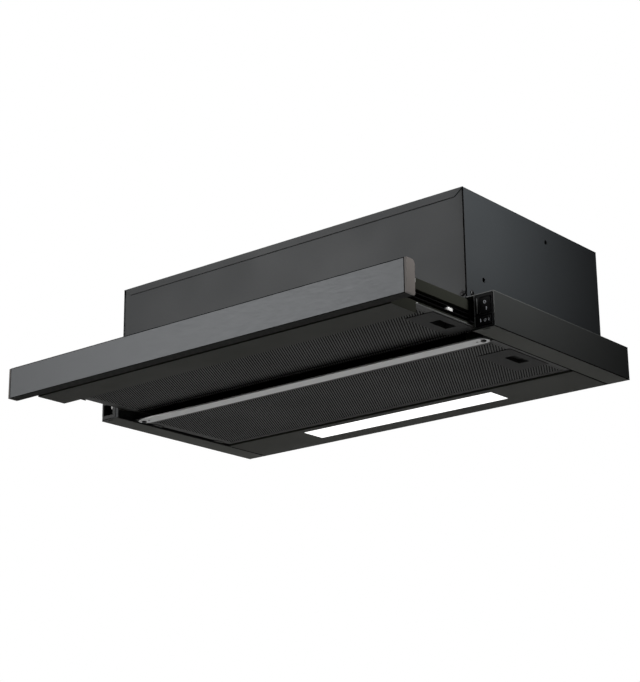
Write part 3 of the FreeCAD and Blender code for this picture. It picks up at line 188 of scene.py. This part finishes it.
def platedSteel(name, colour, rough=0.3):
    # zinc plate with its faint crystals
    paint = Paint(name, colour, Metallic=1.0)
    inputs = {"Vector": paint.where(), "Scale": 260.0}
    crystals = paint.node("ShaderNodeTexVoronoi", None, inputs)
    cloud = paint.noise(25, 3)
    paint.tint(crystals * 8 + cloud * 0.4, 0.1)
    paint.rough(cloud, rough - 0.06, rough + 0.1)
    paint.bump(cloud, 0.05, 0.0002)
    return paint


def knittedPad(name, colour):
    # layers of knitted wire behind the perforated face
    paint = Paint(name, colour, Specular_IOR_Level=0.0)
    inputs = {"Vector": paint.where((1, 1, 0.3)), "Scale": 900.0}
    wires = paint.node("ShaderNodeTexVoronoi", {"feature": "DISTANCE_TO_EDGE"}, inputs)
    paint.tint(wires * 3, 0.5)
    paint.rough(wires, 0.8, 1.0)
    paint.bump(wires, 0.6, 0.0006)
    return paint


def litLens(name, colour):
    # an opal window lit from behind, its tint varying a little
    paint = Paint(name, colour, Roughness=0.35, Emission_Strength=1.25)
    cloud = paint.noise(30, 2)
    warm = {"Factor": paint.spread(cloud, 0.0, 1.0), 6: (1.0, 0.985, 0.96), 7: (0.97, 0.985, 1.0)}
    glow = paint.node("ShaderNodeMix", {"data_type": "RGBA"}, warm, 2)
    paint.feed(paint.shader.inputs["Emission Color"], glow)
    paint.rough(cloud, 0.3, 0.42)
    return paint


finishes = {
    "housing_paint": satinPaint("housingPaint", (0.04, 0.044, 0.047), 0.4, 0.36),
    "rail_paint": satinPaint("railPaint", (0.042, 0.044, 0.043), 0.45, 0.34),
    "fascia_steel": brushedMetal("fasciaSteel", (0.128, 0.133, 0.138), 0.55, 0.42, (1, 40, 40), 0.05),
    "cap_plastic": mouldedPlastic("capPlastic", (0.27, 0.245, 0.23), 0.5),
    "carriage_paint": satinPaint("carriagePaint", (0.024, 0.025, 0.02), 0.5, 0.22, (1, 1, 0.84)),
    "zinc_steel": platedSteel("slideSteel", (0.03, 0.03, 0.031), 0.42),
    "cage_plastic": mouldedPlastic("cagePlastic", (0.012, 0.012, 0.012), 0.5),
    "fastener_steel": platedSteel("fastenerSteel", (0.6, 0.6, 0.6), 0.25),
    "bar_aluminium": brushedMetal("barAluminium", (0.74, 0.74, 0.74), 1.0, 0.4, (1, 60, 60), 0.08),
    "filter_paint": satinPaint("filterPaint", (0.034, 0.034, 0.032), 0.42, 0.4),
    "filter_pad": knittedPad("filterPad", (0.003, 0.003, 0.003)),
    "handle_plastic": mouldedPlastic("handlePlastic", (0.024, 0.024, 0.023), 0.55, 1800, 0.25),
    "switch_plastic": mouldedPlastic("switchPlastic", (0.0025, 0.0025, 0.003), 0.5, 1600, 0.12),
    "end_plastic": mouldedPlastic("endPlastic", (0.02, 0.02, 0.02), 0.4),
    "lens_plastic": litLens("lensPlastic", (0.9, 0.9, 0.88)),
    "board": mouldedPlastic("lightBoard", (0.8, 0.8, 0.78), 0.35, 700),
    "blower_plastic": mouldedPlastic("blowerPlastic", (0.03, 0.03, 0.031), 0.5, 1100),
    "motor_steel": brushedMetal("motorSteel", (0.35, 0.36, 0.37), 1.0, 0.4, (60, 2, 2), 0.1),
    "collar_plastic": mouldedPlastic("collarPlastic", (0.015, 0.015, 0.015), 0.42, 1300),
    "box_plastic": mouldedPlastic("boxPlastic", (0.55, 0.55, 0.52), 0.5, 1000),
}
blackOxide = platedSteel("blackOxide", (0.05, 0.05, 0.05), 0.35)
# near-white that paints the glint of the small steel stops and pegs
brightStop = mouldedPlastic("brightStop", (0.9, 0.9, 0.88), 0.4, 1800, 0.5, 0.03)
markPaint = mouldedPlastic("markPaint", (0.62, 0.64, 0.68), 0.5, 2400, 0.4, 0.1)
# a darker copy of the rail underside paint for the rear panel: painted shade, with the olive tint of
# painted bounce light
panelPaint = satinPaint("panelPaint", (0.028, 0.029, 0.023), 0.5, 0.24, (1, 1, 0.84))
# an olive-tinted, duller copy of the rail paint for the undersides: painted bounce light
railUnderPaint = satinPaint("railUnderPaint", (0.042, 0.044, 0.036), 0.45, 0.28, (1, 1, 0.84))
# near-black, dull coat for the fascia's folds: painted shade
underPaint = satinPaint("underPaint", (0.01, 0.01, 0.009), 0.55, 0.08, (1, 1, 0.9))
# near-black for painted shade: shadow gaps at seams and corners, the walls of small holes, the dark
# behind rear holes
seamShade = mouldedPlastic("seamShade", (0.004, 0.004, 0.004), 0.8, 900, 0.0)
# lighter grey for painted highlights on edges that catch the light
edgePaint = satinPaint("edgePaint", (0.12, 0.125, 0.12), 0.35, 0.5)

for node, body in bodyOf.items():
    for materialSlot in frame["nodes"][node].material_slots:
        materialSlot.material = finishes[slotOf[node]].material
print("finishes made:", len(finishes))


def addPiece(name, mesh, body, paint, replaced=(), bevel=0.0, segments=2, extra=()):
    # turn a bmesh into a piece that rides on a body
    data = bpy.data.meshes.new(name)
    mesh.to_mesh(data)
    mesh.free()
    for each in (paint, *extra):
        data.materials.append(each.material)
    piece = bpy.data.objects.new(name, data)
    bpy.context.scene.collection.objects.link(piece)
    if bevel:
        softer = piece.modifiers.new("softEdges", "BEVEL")
        softer.width = bevel * mm
        softer.segments = segments
        softer.limit_method = "WEIGHT"
        softer.use_clamp_overlap = False
        softer.harden_normals = True
        softer.miter_outer = "MITER_ARC"
    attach(piece, body)
    if replaced:
        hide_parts(*replaced)
    return piece


def camel(node):
    first, *rest = node.split("_")
    return first + "".join(word.capitalize() for word in rest)


def softenEdges(mesh, shortest, sharpest=30):
    # weight the straight sharp edges for the bevel, and keep the other sharp ones crisp
    layers = mesh.edges.layers.float
    weight = layers.get("bevel_weight_edge") or layers.new("bevel_weight_edge")
    for face in mesh.faces:
        face.smooth = any(0.01 < edge.calc_face_angle(0) < math.radians(sharpest) for edge in face.edges)
    for edge in mesh.edges:
        if len(edge.link_faces) != 2 or edge.calc_face_angle(0) < math.radians(sharpest):
            continue
        if edge.calc_length() > shortest * mm:
            edge[weight] = 1.0
        else:
            edge.smooth = False


barHole = {"x": 252, "y": 36, "z": 1, "within": 3.2}


def dressed(node, bevel=0.25, shortest=2.5, paint=None):
    # a node's own shape with its folds and corners softened
    mesh = bmesh.new()
    mesh.from_mesh(frame["nodes"][node].data)
    bmesh.ops.remove_doubles(mesh, verts=mesh.verts, dist=0.002 * mm)
    bmesh.ops.dissolve_limit(mesh, angle_limit=math.radians(0.6), verts=mesh.verts, edges=mesh.edges)
    softenEdges(mesh, shortest)
    slot = slotOf[node]
    extra = ()
    if node == "fascia":
        # brushed outside; its folds get a near-black coat, painted shade for the dim underside
        extra = (underPaint,)
        for face in mesh.faces:
            face.material_index = 0 if face.normal.y < -0.9 else 1
    elif node in ("rail_right", "rail_left"):
        # the underside gets an olive-tinted copy of the paint with a weaker sheen: a painted tint of the
        # warm light bounced up onto it
        extra = (railUnderPaint,)
        for face in mesh.faces:
            face.material_index = 1 if face.normal.z < -0.9 else 0
    elif node == "cross_bar":
        # the walls of its small holes get painted shade
        extra = (seamShade,)
        for face in mesh.faces:
            middle = face.calc_center_median()
            holes = (at(barHole["x"] * hand, barHole["y"], barHole["z"]) for hand in (1, -1))
            inHole = min((middle - hole).length for hole in holes) < barHole["within"] * mm
            face.material_index = 1 if inHole and abs(face.normal.z) < 0.5 else 0
    paint = paint or finishes[slot]
    return addPiece(camel(node), mesh, bodyOf[node], paint, (node,), bevel, 2, extra)


dressings = {
    "housing_wrap": 0.3,
    "housing_top": 0.3,
    "housing_front_plate": 0.2,
    "rail_right": 0.3,
    "rail_left": 0.3,
    "rear_panel": 0.25,
    "cross_bar": 0.35,
    "light_lens": 0.15,
    "fascia": 0.3,
    "fascia_cap_right": 0.5,
    "fascia_cap_left": 0.5,
    "visor_lip": 0.35,
    "visor_arm_right": 0.25,
    "visor_arm_left": 0.25,
    "visor_cover": 0.2,
    "slide_outer_right": 0.2,
    "slide_outer_left": 0.2,
    "slide_inner_right": 0.2,
    "slide_inner_left": 0.2,
    "front_filter_frame": 0.25,
    "rear_filter_frame": 0.25,
    "front_filter_handle": 0.18,
    "rear_filter_handle": 0.18,
    "front_filter_latch": 0.2,
    "rear_filter_latch": 0.2,
    "switch_box": 0.25,
    "light_rocker": 0.35,
    "speed_rocker": 0.35,
    "end_cap_left": 0.3,
    "outlet_collar": 0.3,
    "cable_gland": 0.3,
}
ownPaint = {"rear_panel": panelPaint}
for node, bevel in dressings.items():
    dressed(node, bevel, paint=ownPaint.get(node))
print("sheet metal and mouldings dressed:", len(dressings))

# perforated faces of the filters
faceSizes = {
    "pitch": 3.48,
    "web": 0.3,
    "longer": 1.25,
    "slimmer": 0.72,
    "border": 2.2,
    "behind": 0.04,
    "rearRun": 6.0,
    "rearProud": 0.05,
}


def perforatedFace(filterName):
    node = filterName + "_mesh"
    low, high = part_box(node)
    plateLow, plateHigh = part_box(filterName + "_handle")
    pitch = faceSizes["pitch"] * mm
    row = pitch * math.sqrt(0.75)
    cell = pitch / math.sqrt(3)
    hole = cell * (1 - faceSizes["web"])
    floor = low.z
    mesh = bmesh.new()
    corners = [(math.sin(math.radians(60 * i)), math.cos(math.radians(60 * i))) for i in range(6)]
    # each hole is drawn out along one of the rows it stands in
    alongRow, acrossRow = (-0.5, math.sqrt(0.75)), (math.sqrt(0.75), 0.5)
    slot = []
    for a, b in corners:
        u = (a * alongRow[0] + b * alongRow[1]) * faceSizes["longer"]
        v = (a * acrossRow[0] + b * acrossRow[1]) * faceSizes["slimmer"]
        slot.append((u * alongRow[0] + v * acrossRow[0], u * alongRow[1] + v * acrossRow[1]))

    def webCell(x, y, z):
        # the metal round one hole
        outer = [mesh.verts.new((x + a * cell, y + b * cell, z)) for a, b in corners]
        inner = [mesh.verts.new((x + a * hole, y + b * hole, z)) for a, b in slot]
        for k in range(6):
            n = (k + 1) % 6
            mesh.faces.new((outer[k], outer[n], inner[n], inner[k]))

    columns = int((high.x - low.x) / pitch)
    rows = int((high.y - low.y) / row)
    startX = (low.x + high.x) / 2 - columns * pitch / 2
    startY = (low.y + high.y) / 2 - rows * row / 2
    margin = cell * 0.5
    for j in range(rows + 1):
        for i in range(columns + 1):
            x = startX + (i + 0.5 * (j % 2)) * pitch
            y = startY + j * row
            inside = low.x + cell < x < high.x - cell and low.y + cell < y < high.y - cell
            behindPlate = plateLow.x + margin < x and plateLow.y + margin < y < plateHigh.y - margin
            if not inside or behindPlate:
                continue
            webCell(x, y, floor)
    if filterName == "front_filter":
        # the sheet runs on over the frame's rear rim, a hair below it
        y = startY + (rows + 1) * row
        j = rows + 1
        while y < high.y + faceSizes["rearRun"] * mm:
            for i in range(columns + 1):
                x = startX + (i + 0.5 * (j % 2)) * pitch
                if low.x + cell < x < high.x - cell:
                    webCell(x, y, floor - faceSizes["rearProud"] * mm)
            y += row
            j += 1
    # the plain border a hair behind the holes, left open where the handle's plate covers it
    behind = floor + faceSizes["behind"] * mm
    edge = faceSizes["border"] * mm
    strips = [
        (low.x, high.x, low.y, low.y + edge),
        (low.x, high.x, high.y - edge, high.y),
        (low.x, low.x + edge, low.y, high.y),
        (high.x - edge, high.x, low.y, plateLow.y + edge),
        (high.x - edge, high.x, plateHigh.y - edge, high.y),
    ]
    for x0, x1, y0, y1 in strips:
        quad = [mesh.verts.new((x, y, behind)) for x, y in ((x0, y0), (x0, y1), (x1, y1), (x1, y0))]
        mesh.faces.new(quad)
    name = camel(filterName) + "Face"
    return addPiece(name, mesh, bodyOf[node], finishes["filter_paint"], (node,))


for filterName in ("front_filter", "rear_filter"):
    perforatedFace(filterName)
print("perforated faces made")

# screws
screwSizes = {"head": 3.2, "headHeight": 1.6, "shank": 1.75, "length": 7, "slot": 0.75, "slotReach": 1.7}


def lathe(mesh, profile, turns=32):
    # spin (radius, height) pairs about Z, closed at both ends
    rings = []
    for radius, height in profile:
        ring = []
        for k in range(turns):
            angle = 2 * math.pi * k / turns
            ring.append(mesh.verts.new((radius * math.cos(angle), radius * math.sin(angle), height)))
        rings.append(ring)
    for lower, upper in zip(rings, rings[1:]):
        for k in range(turns):
            n = (k + 1) % turns
            mesh.faces.new((lower[k], lower[n], upper[n], upper[k]))
    mesh.faces.new(list(reversed(rings[0])))
    mesh.faces.new(rings[-1])


def temporary(name, mesh):
    data = bpy.data.meshes.new(name)
    mesh.to_mesh(data)
    mesh.free()
    made = bpy.data.objects.new(name, data)
    bpy.context.scene.collection.objects.link(made)
    return made


def screwShape():
    # a pan head with a cross recess, on a threaded shank, its seat at the origin and its head up Z
    s = screwSizes
    head = s["head"] * mm
    tall = s["headHeight"] * mm
    profile = [(head * 0.97, 0), (head, tall * 0.25)]
    profile += [
        (head * math.cos(t) ** 0.55, tall * (0.25 + 0.75 * math.sin(t)))
        for t in (0.35, 0.7, 1.0, 1.25, 1.45)
    ]
    mesh = bmesh.new()
    lathe(mesh, profile)
    body = temporary("screwBody", mesh)
    mesh = bmesh.new()
    w, r, deep = s["slot"] * mm / 2, s["slotReach"] * mm, tall * 0.35
    outline = [(w, w), (w, r), (-w, r), (-w, w), (-r, w), (-r, -w)]
    outline += [(-x, -y) for x, y in outline]
    lower = [mesh.verts.new((x * 0.8, y * 0.8, deep)) for x, y in outline]
    upper = [mesh.verts.new((x, y, tall * 1.3)) for x, y in outline]
    mesh.faces.new(list(reversed(lower)))
    mesh.faces.new(upper)
    for k in range(12):
        n = (k + 1) % 12
        mesh.faces.new((lower[k], lower[n], upper[n], upper[k]))
    bmesh.ops.recalc_face_normals(mesh, faces=mesh.faces)
    cross = temporary("screwCross", mesh)
    recess = body.modifiers.new("recess", "BOOLEAN")
    recess.object = cross
    recess.operation = "DIFFERENCE"
    depsgraph = bpy.context.evaluated_depsgraph_get()
    carved = bpy.data.meshes.new_from_object(body.evaluated_get(depsgraph))
    bpy.data.objects.remove(body)
    bpy.data.objects.remove(cross)
    mesh = bmesh.new()
    mesh.from_mesh(carved)
    thread = [(s["shank"] * mm * 0.6, -s["length"] * mm)]
    for k in range(9):
        height = -s["length"] + 0.4 + k * 0.7
        thread += [(s["shank"] * mm * 0.82, height * mm), (s["shank"] * mm, (height + 0.35) * mm)]
    thread.append((s["shank"] * mm * 0.85, 0))
    lathe(mesh, thread, 20)
    shape = bpy.data.meshes.new("screwShape")
    mesh.to_mesh(shape)
    mesh.free()
    return shape


screwMesh = screwShape()


def screwSet(node, places, paint):
    # several of one screw, each at its seat with its head along a direction
    mesh = bmesh.new()
    for k, (seat, way) in enumerate(places):
        turn = Vector(way).to_track_quat("Z", "Y").to_matrix().to_4x4()
        spin = Matrix.Rotation(math.radians(17 + 41 * k), 4, "Z")
        before = set(mesh.verts)
        mesh.from_mesh(screwMesh)
        fresh = [v for v in mesh.verts if v not in before]
        bmesh.ops.transform(mesh, matrix=Matrix.Translation(seat) @ turn @ spin, verts=fresh)
    for face in mesh.faces:
        face.smooth = True
    for edge in mesh.edges:
        if edge.calc_face_angle(0) > math.radians(38):
            edge.smooth = False
    return addPiece(camel(node), mesh, bodyOf[node], paint, (node,))


# seats on the right side with the way each head looks; the left ones mirror them
steel = finishes["fastener_steel"]
screwSeats = {
    "housing_screws": (blackOxide, ((259.4, 1, 45.5), (0, -1, 0)), ((265, 10.6, 46.8), (1, 0, 0))),
    "fascia_screws": (steel, ((247, -139, 31.5), (0, 1, 0)), ((293, -141.3, 17), (0, 1, 0))),
    "cross_bar_screws": (blackOxide, ((260.5, 36, 0), (0, 0, -1))),
}
for node, (paint, *seats) in screwSeats.items():
    places = []
    for hand in (-1, 1):
        places += [(at(x * hand, y, z), (way[0] * hand, *way[1:])) for (x, y, z), way in seats]
    screwSet(node, places, paint)

collarSizes = {"circle": 67.5, "axisY": 140, "top": 171}
reach = collarSizes["circle"] * math.sqrt(0.5)
places = []
for a in (-1, 1):
    for b in (-1, 1):
        places.append((at(a * reach, collarSizes["axisY"] + b * reach, collarSizes["top"]), (0, 0, 1)))
screwSet("collar_screws", places, steel)
print("screws placed")

# marks on the switches, moulded slightly proud
markSizes = {"proud": 0.12, "ringOuter": 1.75, "ringInner": 0.95, "barLong": 3.6, "barWide": 1.1}


def markMesh(mesh, kind, centre, across, up, out):
    # an O or an I lying on a face with the given directions
    s = markSizes
    lift = out * (s["proud"] * mm)
    if kind == "O":
        steps = 28
        rings = []
        profile = ((s["ringOuter"], 0), (s["ringOuter"], 1), (s["ringInner"], 1), (s["ringInner"], 0))
        for radius, high in profile:
            ring = []
            for k in range(steps):
                angle = 2 * math.pi * k / steps
                spoke = across * math.cos(angle) + up * math.sin(angle)
                ring.append(mesh.verts.new(centre + spoke * (radius * mm) + lift * high))
            rings.append(ring)
        for first, second in zip(rings, rings[1:]):
            for k in range(steps):
                n = (k + 1) % steps
                mesh.faces.new((first[k], first[n], second[n], second[k]))
    else:
        w, h = s["barWide"] * mm / 2, s["barLong"] * mm / 2
        ends = ((-1, -1), (1, -1), (1, 1), (-1, 1))
        lower = [mesh.verts.new(centre + across * a * w + up * b * h) for a, b in ends]
        upper = [mesh.verts.new(v.co + lift) for v in lower]
        mesh.faces.new(upper)
        for k in range(4):
            n = (k + 1) % 4
            mesh.faces.new((lower[k], lower[n], upper[n], upper[k]))


# each mark lies where a line from the front meets its rocker
markPlaces = {
    "light_rocker": (("O", 289.2, 28.6), ("I", 290.6, 21.6)),
    "speed_rocker": (("I", 284.2, 8.1), ("O", 289.6, 8.1), ("I", 294.8, 8.1)),
}
for node, marks in markPlaces.items():
    source = bmesh.new()
    source.from_mesh(frame["nodes"][node].data)
    tree = BVHTree.FromBMesh(source)
    mesh = bmesh.new()
    for kind, x, z in marks:
        place, normal = tree.ray_cast(at(x, -30, z), Vector((0, 1, 0)))[:2]
        across = Vector((0, 0, 1)).cross(normal).normalized()
        markMesh(mesh, kind, place, across, normal.cross(across), normal)
    source.free()
    bmesh.ops.recalc_face_normals(mesh, faces=mesh.faces)
    addPiece(camel(node) + "Marks", mesh, bodyOf[node], markPaint)
print("switch marks made")


def stadium(mesh, centre, longWay, wideWay, out, long, wide, high, steps=10):
    # a domed, round-ended button: a rivet head or a bumper
    rings = []
    for shrink, lift in ((1.0, 0.0), (0.96, 0.45), (0.8, 0.8), (0.45, 0.97)):
        ring = []
        for end in (1, -1):
            for k in range(steps + 1):
                angle = math.pi * k / steps - math.pi / 2
                a = end * ((long - wide) / 2 + wide / 2 * shrink * math.cos(angle))
                b = end * wide / 2 * shrink * math.sin(angle)
                ring.append(mesh.verts.new(centre + (longWay * a + wideWay * b + out * high * lift) * mm))
        rings.append(ring)
    count = len(rings[0])
    for first, second in zip(rings, rings[1:]):
        for k in range(count):
            n = (k + 1) % count
            mesh.faces.new((first[k], first[n], second[n], second[k]))
    mesh.faces.new(rings[-1])
    for face in mesh.faces:
        face.smooth = True


# the stop on each inner slide and the peg at each lip's end, whitened as a painted glint, and the bumper
# behind each cap
forward, upward, right = Vector((0, 1, 0)), Vector((0, 0, 1)), Vector((1, 0, 0))
pale = finishes["box_plastic"]
buttons = {
    "slideStop": ((262.2, -30, 18.5), forward, upward, right, 10.0, 5.2, 2.6, brightStop, "zinc_steel"),
    "capBumper": ((298.6, -139.9, 14.8), upward, right, forward, 5.2, 2.2, 1.4, pale, "box_plastic"),
    "lipPeg": ((266.0, -92.6, 10.0), forward, right, -upward, 2.6, 2.4, 0.8, brightStop, "zinc_steel"),
}
for name, (place, longWay, wideWay, out, long, wide, high, paint, slot) in buttons.items():
    for hand, sideName in ((1, "Right"), (-1, "Left")):
        mirror = Vector((hand, 1, 1))
        mesh = bmesh.new()
        ways = (longWay * mirror, wideWay * mirror, out * mirror)
        stadium(mesh, at(place[0] * hand, *place[1:]), *ways, long, wide, high)
        bmesh.ops.recalc_face_normals(mesh, faces=mesh.faces)
        addPiece(name + sideName, mesh, "carriage", paint)
print("stops and pads made")


def patch(mesh, axis, value, first, second, turned=False):
    # a strip across one axis, given by its reach along the other two in millimetres
    corners = [(first[0], second[0]), (first[1], second[0]), (first[1], second[1]), (first[0], second[1])]
    if turned:
        corners.reverse()
    place = "xyz".index(axis)
    mesh.faces.new([mesh.verts.new(at(*corner[:place], value, *corner[place:])) for corner in corners])


def span(hand, near, far):
    return sorted((near * hand, far * hand))


# painted shadow along the seams and painted highlights along the edges of the sheet metal
sheet = {
    "railOut": 300,
    "railIn": 270,
    "railBack": 280,
    "ledge": 40,
    "wall": 265,
    "wallIn": 264,
    "wallTop": 168,
}
front = {"y": -154, "low": -1.6, "high": 35.8, "capJoint": 297, "edgeReach": 296.5}
lines = {
    "proud": 0.03,
    "innerSeam": 2.0,
    "cornerSeam": 1.4,
    "plateEdge": 0.8,
    "railSeam": 0.8,
    "railEdge": 0.7,
    "railFrontEdge": 0.9,
    "fasciaSeam": 0.7,
    "fasciaEdge": 0.8,
}
proud = lines["proud"]
railSeams, railEdges, fasciaSeams = (bmesh.new() for k in range(3))
out, wall, ledge = sheet["railOut"], sheet["wall"], sheet["ledge"]
depth = (0, sheet["railBack"])
tall = (ledge + 1, sheet["wallTop"])
for hand in (1, -1):
    outer = (out + proud) * hand
    patch(railSeams, "x", outer, depth, (0, lines["railSeam"]), hand < 0)
    patch(railSeams, "z", -proud, span(hand, out - lines["railSeam"], out), depth, True)
    inner = span(hand, sheet["railIn"], sheet["railIn"] + lines["innerSeam"])
    patch(railSeams, "z", -proud, inner, (1, 279), True)
    patch(railSeams, "y", -proud, span(hand, sheet["wallIn"], wall), tall)
    patch(railSeams, "x", (wall + proud) * hand, (0, lines["cornerSeam"]), tall, hand < 0)
    patch(railEdges, "x", outer, depth, (ledge - lines["railEdge"], ledge), hand < 0)
    patch(railEdges, "y", -proud, span(hand, wall, out), (ledge - lines["railEdge"], ledge))
    patch(railEdges, "y", -proud, span(hand, out - lines["railFrontEdge"], out), (6, ledge - 1))
    plate = span(hand, sheet["wallIn"] - lines["plateEdge"], sheet["wallIn"])
    patch(railEdges, "y", 1 - proud, plate, (54, 158.5))
    capJoint = front["capJoint"]
    joint = span(hand, capJoint - lines["fasciaSeam"], capJoint + lines["fasciaSeam"] * 0.4)
    patch(fasciaSeams, "y", front["y"] - proud, joint, (front["low"], front["high"]))
across = (-front["edgeReach"], front["edgeReach"])
patch(fasciaSeams, "y", front["y"] - proud, across, (front["low"], front["low"] + lines["fasciaEdge"]))
patch(fasciaSeams, "y", front["y"] - proud, across, (front["high"] - lines["fasciaEdge"], front["high"]))
addPiece("railSeams", railSeams, "root", seamShade)
addPiece("railEdges", railEdges, "root", edgePaint)
addPiece("fasciaSeams", fasciaSeams, "carriage", seamShade)

# a painted highlight on the front filter's right edge, a sheet of painted shade behind its rear holes,
# and a line of painted shadow on the rear filter's rim
filterEdge, frontRim, rearRim = (bmesh.new() for k in range(3))
rimSizes = {
    "frontFace": 10,
    "rearFace": 2,
    "side": 264.7,
    "edgeWide": 1.0,
    "edgeTall": 0.8,
    "sheetProud": 0.02,
    "rimSeam": 0.9,
}
face, side = rimSizes["frontFace"], rimSizes["side"]
patch(filterEdge, "z", face - proud, (side - rimSizes["edgeWide"], side), (-90, 5), True)
patch(filterEdge, "x", side + proud, (-90, 5), (face, face + rimSizes["edgeTall"]))
addPiece("frontFilterEdge", filterEdge, "front_filter", edgePaint)
patch(frontRim, "z", face - rimSizes["sheetProud"], (-254.5, 254.5), (17.6, 25.3), True)
addPiece("frontFilterRearRim", frontRim, "front_filter", seamShade)
patch(rearRim, "z", rimSizes["rearFace"] - proud, (-260, 260), (196.8, 196.8 + rimSizes["rimSeam"]), True)
addPiece("rearFilterRimSeam", rearRim, "rear_filter", seamShade)

# the folded front of the left rail, beside its cap's window
flangeSizes = {"x": (-279.9, -270.4), "y": (-0.5, 0.6), "z": (0.4, 25), "bevel": 0.2}
flange = bmesh.new()
(x0, x1), (y0, y1) = flangeSizes["x"], flangeSizes["y"]
outline = ((x0, y0), (x1, y0), (x1, y1), (x0, y1))
lower, upper = ([flange.verts.new(at(x, y, z)) for x, y in outline] for z in flangeSizes["z"])
flange.faces.new(list(reversed(lower)))
flange.faces.new(upper)
for k in range(4):
    n = (k + 1) % 4
    flange.faces.new((lower[k], lower[n], upper[n], upper[k]))
flange.normal_update()
softenEdges(flange, 0.5)
flangePaint = finishes["housing_paint"]
addPiece("leftRailFlange", flange, "root", flangePaint, (), flangeSizes["bevel"])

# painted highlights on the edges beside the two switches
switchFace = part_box("switch_box")[0][1] / mm + 140
switchEdges = bmesh.new()
for across, tall in (((279.4, 280.3), (17, 34)), ((276.1, 277.2), (2.5, 14))):
    patch(switchEdges, "y", switchFace - proud, across, tall)
addPiece("switchEdges", switchEdges, "root", edgePaint)

# the peg inside the left cap's window
capPeg = bmesh.new()
stadium(capPeg, at(-280.4, 1.7, 15.6), upward, forward, -right, 4.4, 3.2, 5.0)
bmesh.ops.recalc_face_normals(capPeg, faces=capPeg.faces)
addPiece("leftCapPeg", capPeg, "root", brightStop)
print("seams and edges made")

# floor, far below a hood that hangs in its cabinet
floorSizes = {"height": -1.55, "half": 7.0, "steps": 12}
mesh = bmesh.new()
steps = floorSizes["steps"]
grid = {}
for i in range(steps + 1):
    for j in range(steps + 1):
        x = (2 * i / steps - 1) * floorSizes["half"]
        y = (2 * j / steps - 1) * floorSizes["half"]
        grid[i, j] = mesh.verts.new((x, y, floorSizes["height"]))
for i in range(steps):
    for j in range(steps):
        mesh.faces.new((grid[i, j], grid[i + 1, j], grid[i + 1, j + 1], grid[i, j + 1]))
data = bpy.data.meshes.new("floor")
mesh.to_mesh(data)
mesh.free()
floor = bpy.data.objects.new("floor", data)
bpy.context.scene.collection.objects.link(floor)
floorPaint = Paint("floorPaint", (0.82, 0.82, 0.81), Specular_IOR_Level=0.2)
floorPaint.tint(floorPaint.noise(3, 4), 0.01)
floorPaint.rough(floorPaint.noise(6, 3), 0.7, 0.85)
data.materials.append(floorPaint.material)

# light: a white backdrop for the camera, a dim surround that brightens behind and below
scene = bpy.context.scene
scene.view_settings.view_transform = "Standard"
surround = {
    "dim": 0.03,
    "bright": 0.12,
    "from": 0.1,
    "to": 0.9,
    "towards": (-0.55, 0.7, -0.45),
    "tint": (0.96, 0.98, 1.0),
}
world = bpy.data.worlds.new("studio")
scene.world = world
world.use_nodes = True
sky = NodeMaker(world.node_tree)
sky.tree.nodes.clear()
direction = sky.node("ShaderNodeTexCoord")
towards = Vector(surround["towards"]).normalized()
dot = {"operation": "DOT_PRODUCT"}
facing = sky.node("ShaderNodeVectorMath", dot, {0: direction, 1: towards}, "Value")
ramp = {0: facing, 1: surround["from"], 2: surround["to"], 3: surround["dim"], 4: surround["bright"]}
strength = sky.node("ShaderNodeMapRange", None, ramp)
around = sky.node("ShaderNodeBackground", None, {"Color": surround["tint"], "Strength": strength})
seen = sky.node("ShaderNodeBackground", None, {"Color": (1, 1, 1)})
cameraRay = sky.node("ShaderNodeLightPath", output="Is Camera Ray")
backdrop = sky.node("ShaderNodeMixShader", None, {0: cameraRay, 1: around, 2: seen})
sky.node("ShaderNodeOutputWorld", None, {"Surface": backdrop})

# soft panels: a key from the front left, a glint on the right rail, a wash on the floor and one above
panels = {
    "front": {
        "place": (-1.72, -2.45, 0.72),
        "aim": (0.05, -0.2, -0.1),
        "size": (1.25, 2.1),
        "glow": 3.3,
    },
    "right": {
        "place": (0.98, -0.24, 0.2),
        "aim": (0.26, -0.14, 0.0),
        "size": (0.3, 0.3),
        "glow": 1.75,
        "spread": 34,
    },
    "wash": {
        "place": (-2.1, 2.6, 0.35),
        "aim": (-2.1, 2.6, -1),
        "size": (2.8, 2.8),
        "glow": 0.75,
        "spread": 100,
    },
    "top": {"place": (0.2, 0.2, 1.9), "aim": (0, 0, 0), "size": (1.6, 1.6), "glow": 2.2},
}
for name, panel in panels.items():
    lamp = bpy.data.lights.new(name, "AREA")
    lamp.shape = "RECTANGLE"
    lamp.size, lamp.size_y = panel["size"]
    lamp.energy = panel["glow"] * math.pi * lamp.size * lamp.size_y
    lamp.spread = math.radians(panel.get("spread", 180))
    made = bpy.data.objects.new(name, lamp)
    made.location = panel["place"]
    made.rotation_mode = "QUATERNION"
    made.rotation_quaternion = (Vector(panel["aim"]) - Vector(panel["place"])).to_track_quat("-Z", "Y")
    made.visible_camera = False
    scene.collection.objects.link(made)

# camera: low at the front right, looking up
cameraSizes = {
    "place": (1.2590, -1.5878, -0.7212),
    "azimuth": 39.629,
    "elevation": -17.226,
    "roll": -0.616,
    "lens": 90.69,
}
azimuth = math.radians(cameraSizes["azimuth"])
elevation = math.radians(cameraSizes["elevation"])
roll = math.radians(cameraSizes["roll"])
level = Vector((-math.sin(azimuth), math.cos(azimuth), 0))
look = level * math.cos(elevation) - Vector((0, 0, 1)) * math.sin(elevation)
sideways = look.cross(Vector((0, 0, 1))).normalized()
above = sideways.cross(look)
rolled = sideways * math.cos(roll) + above * math.sin(roll)
above = above * math.cos(roll) - sideways * math.sin(roll)
lens = bpy.data.cameras.new("camera")
lens.lens = cameraSizes["lens"]
lens.sensor_width = 36
lens.clip_end = 50
camera = bpy.data.objects.new("camera", lens)
axes = Matrix((rolled, above, -look)).transposed().to_4x4()
camera.matrix_world = Matrix.Translation(cameraSizes["place"]) @ axes
scene.collection.objects.link(camera)
scene.camera = camera
print("floor, light and camera set")
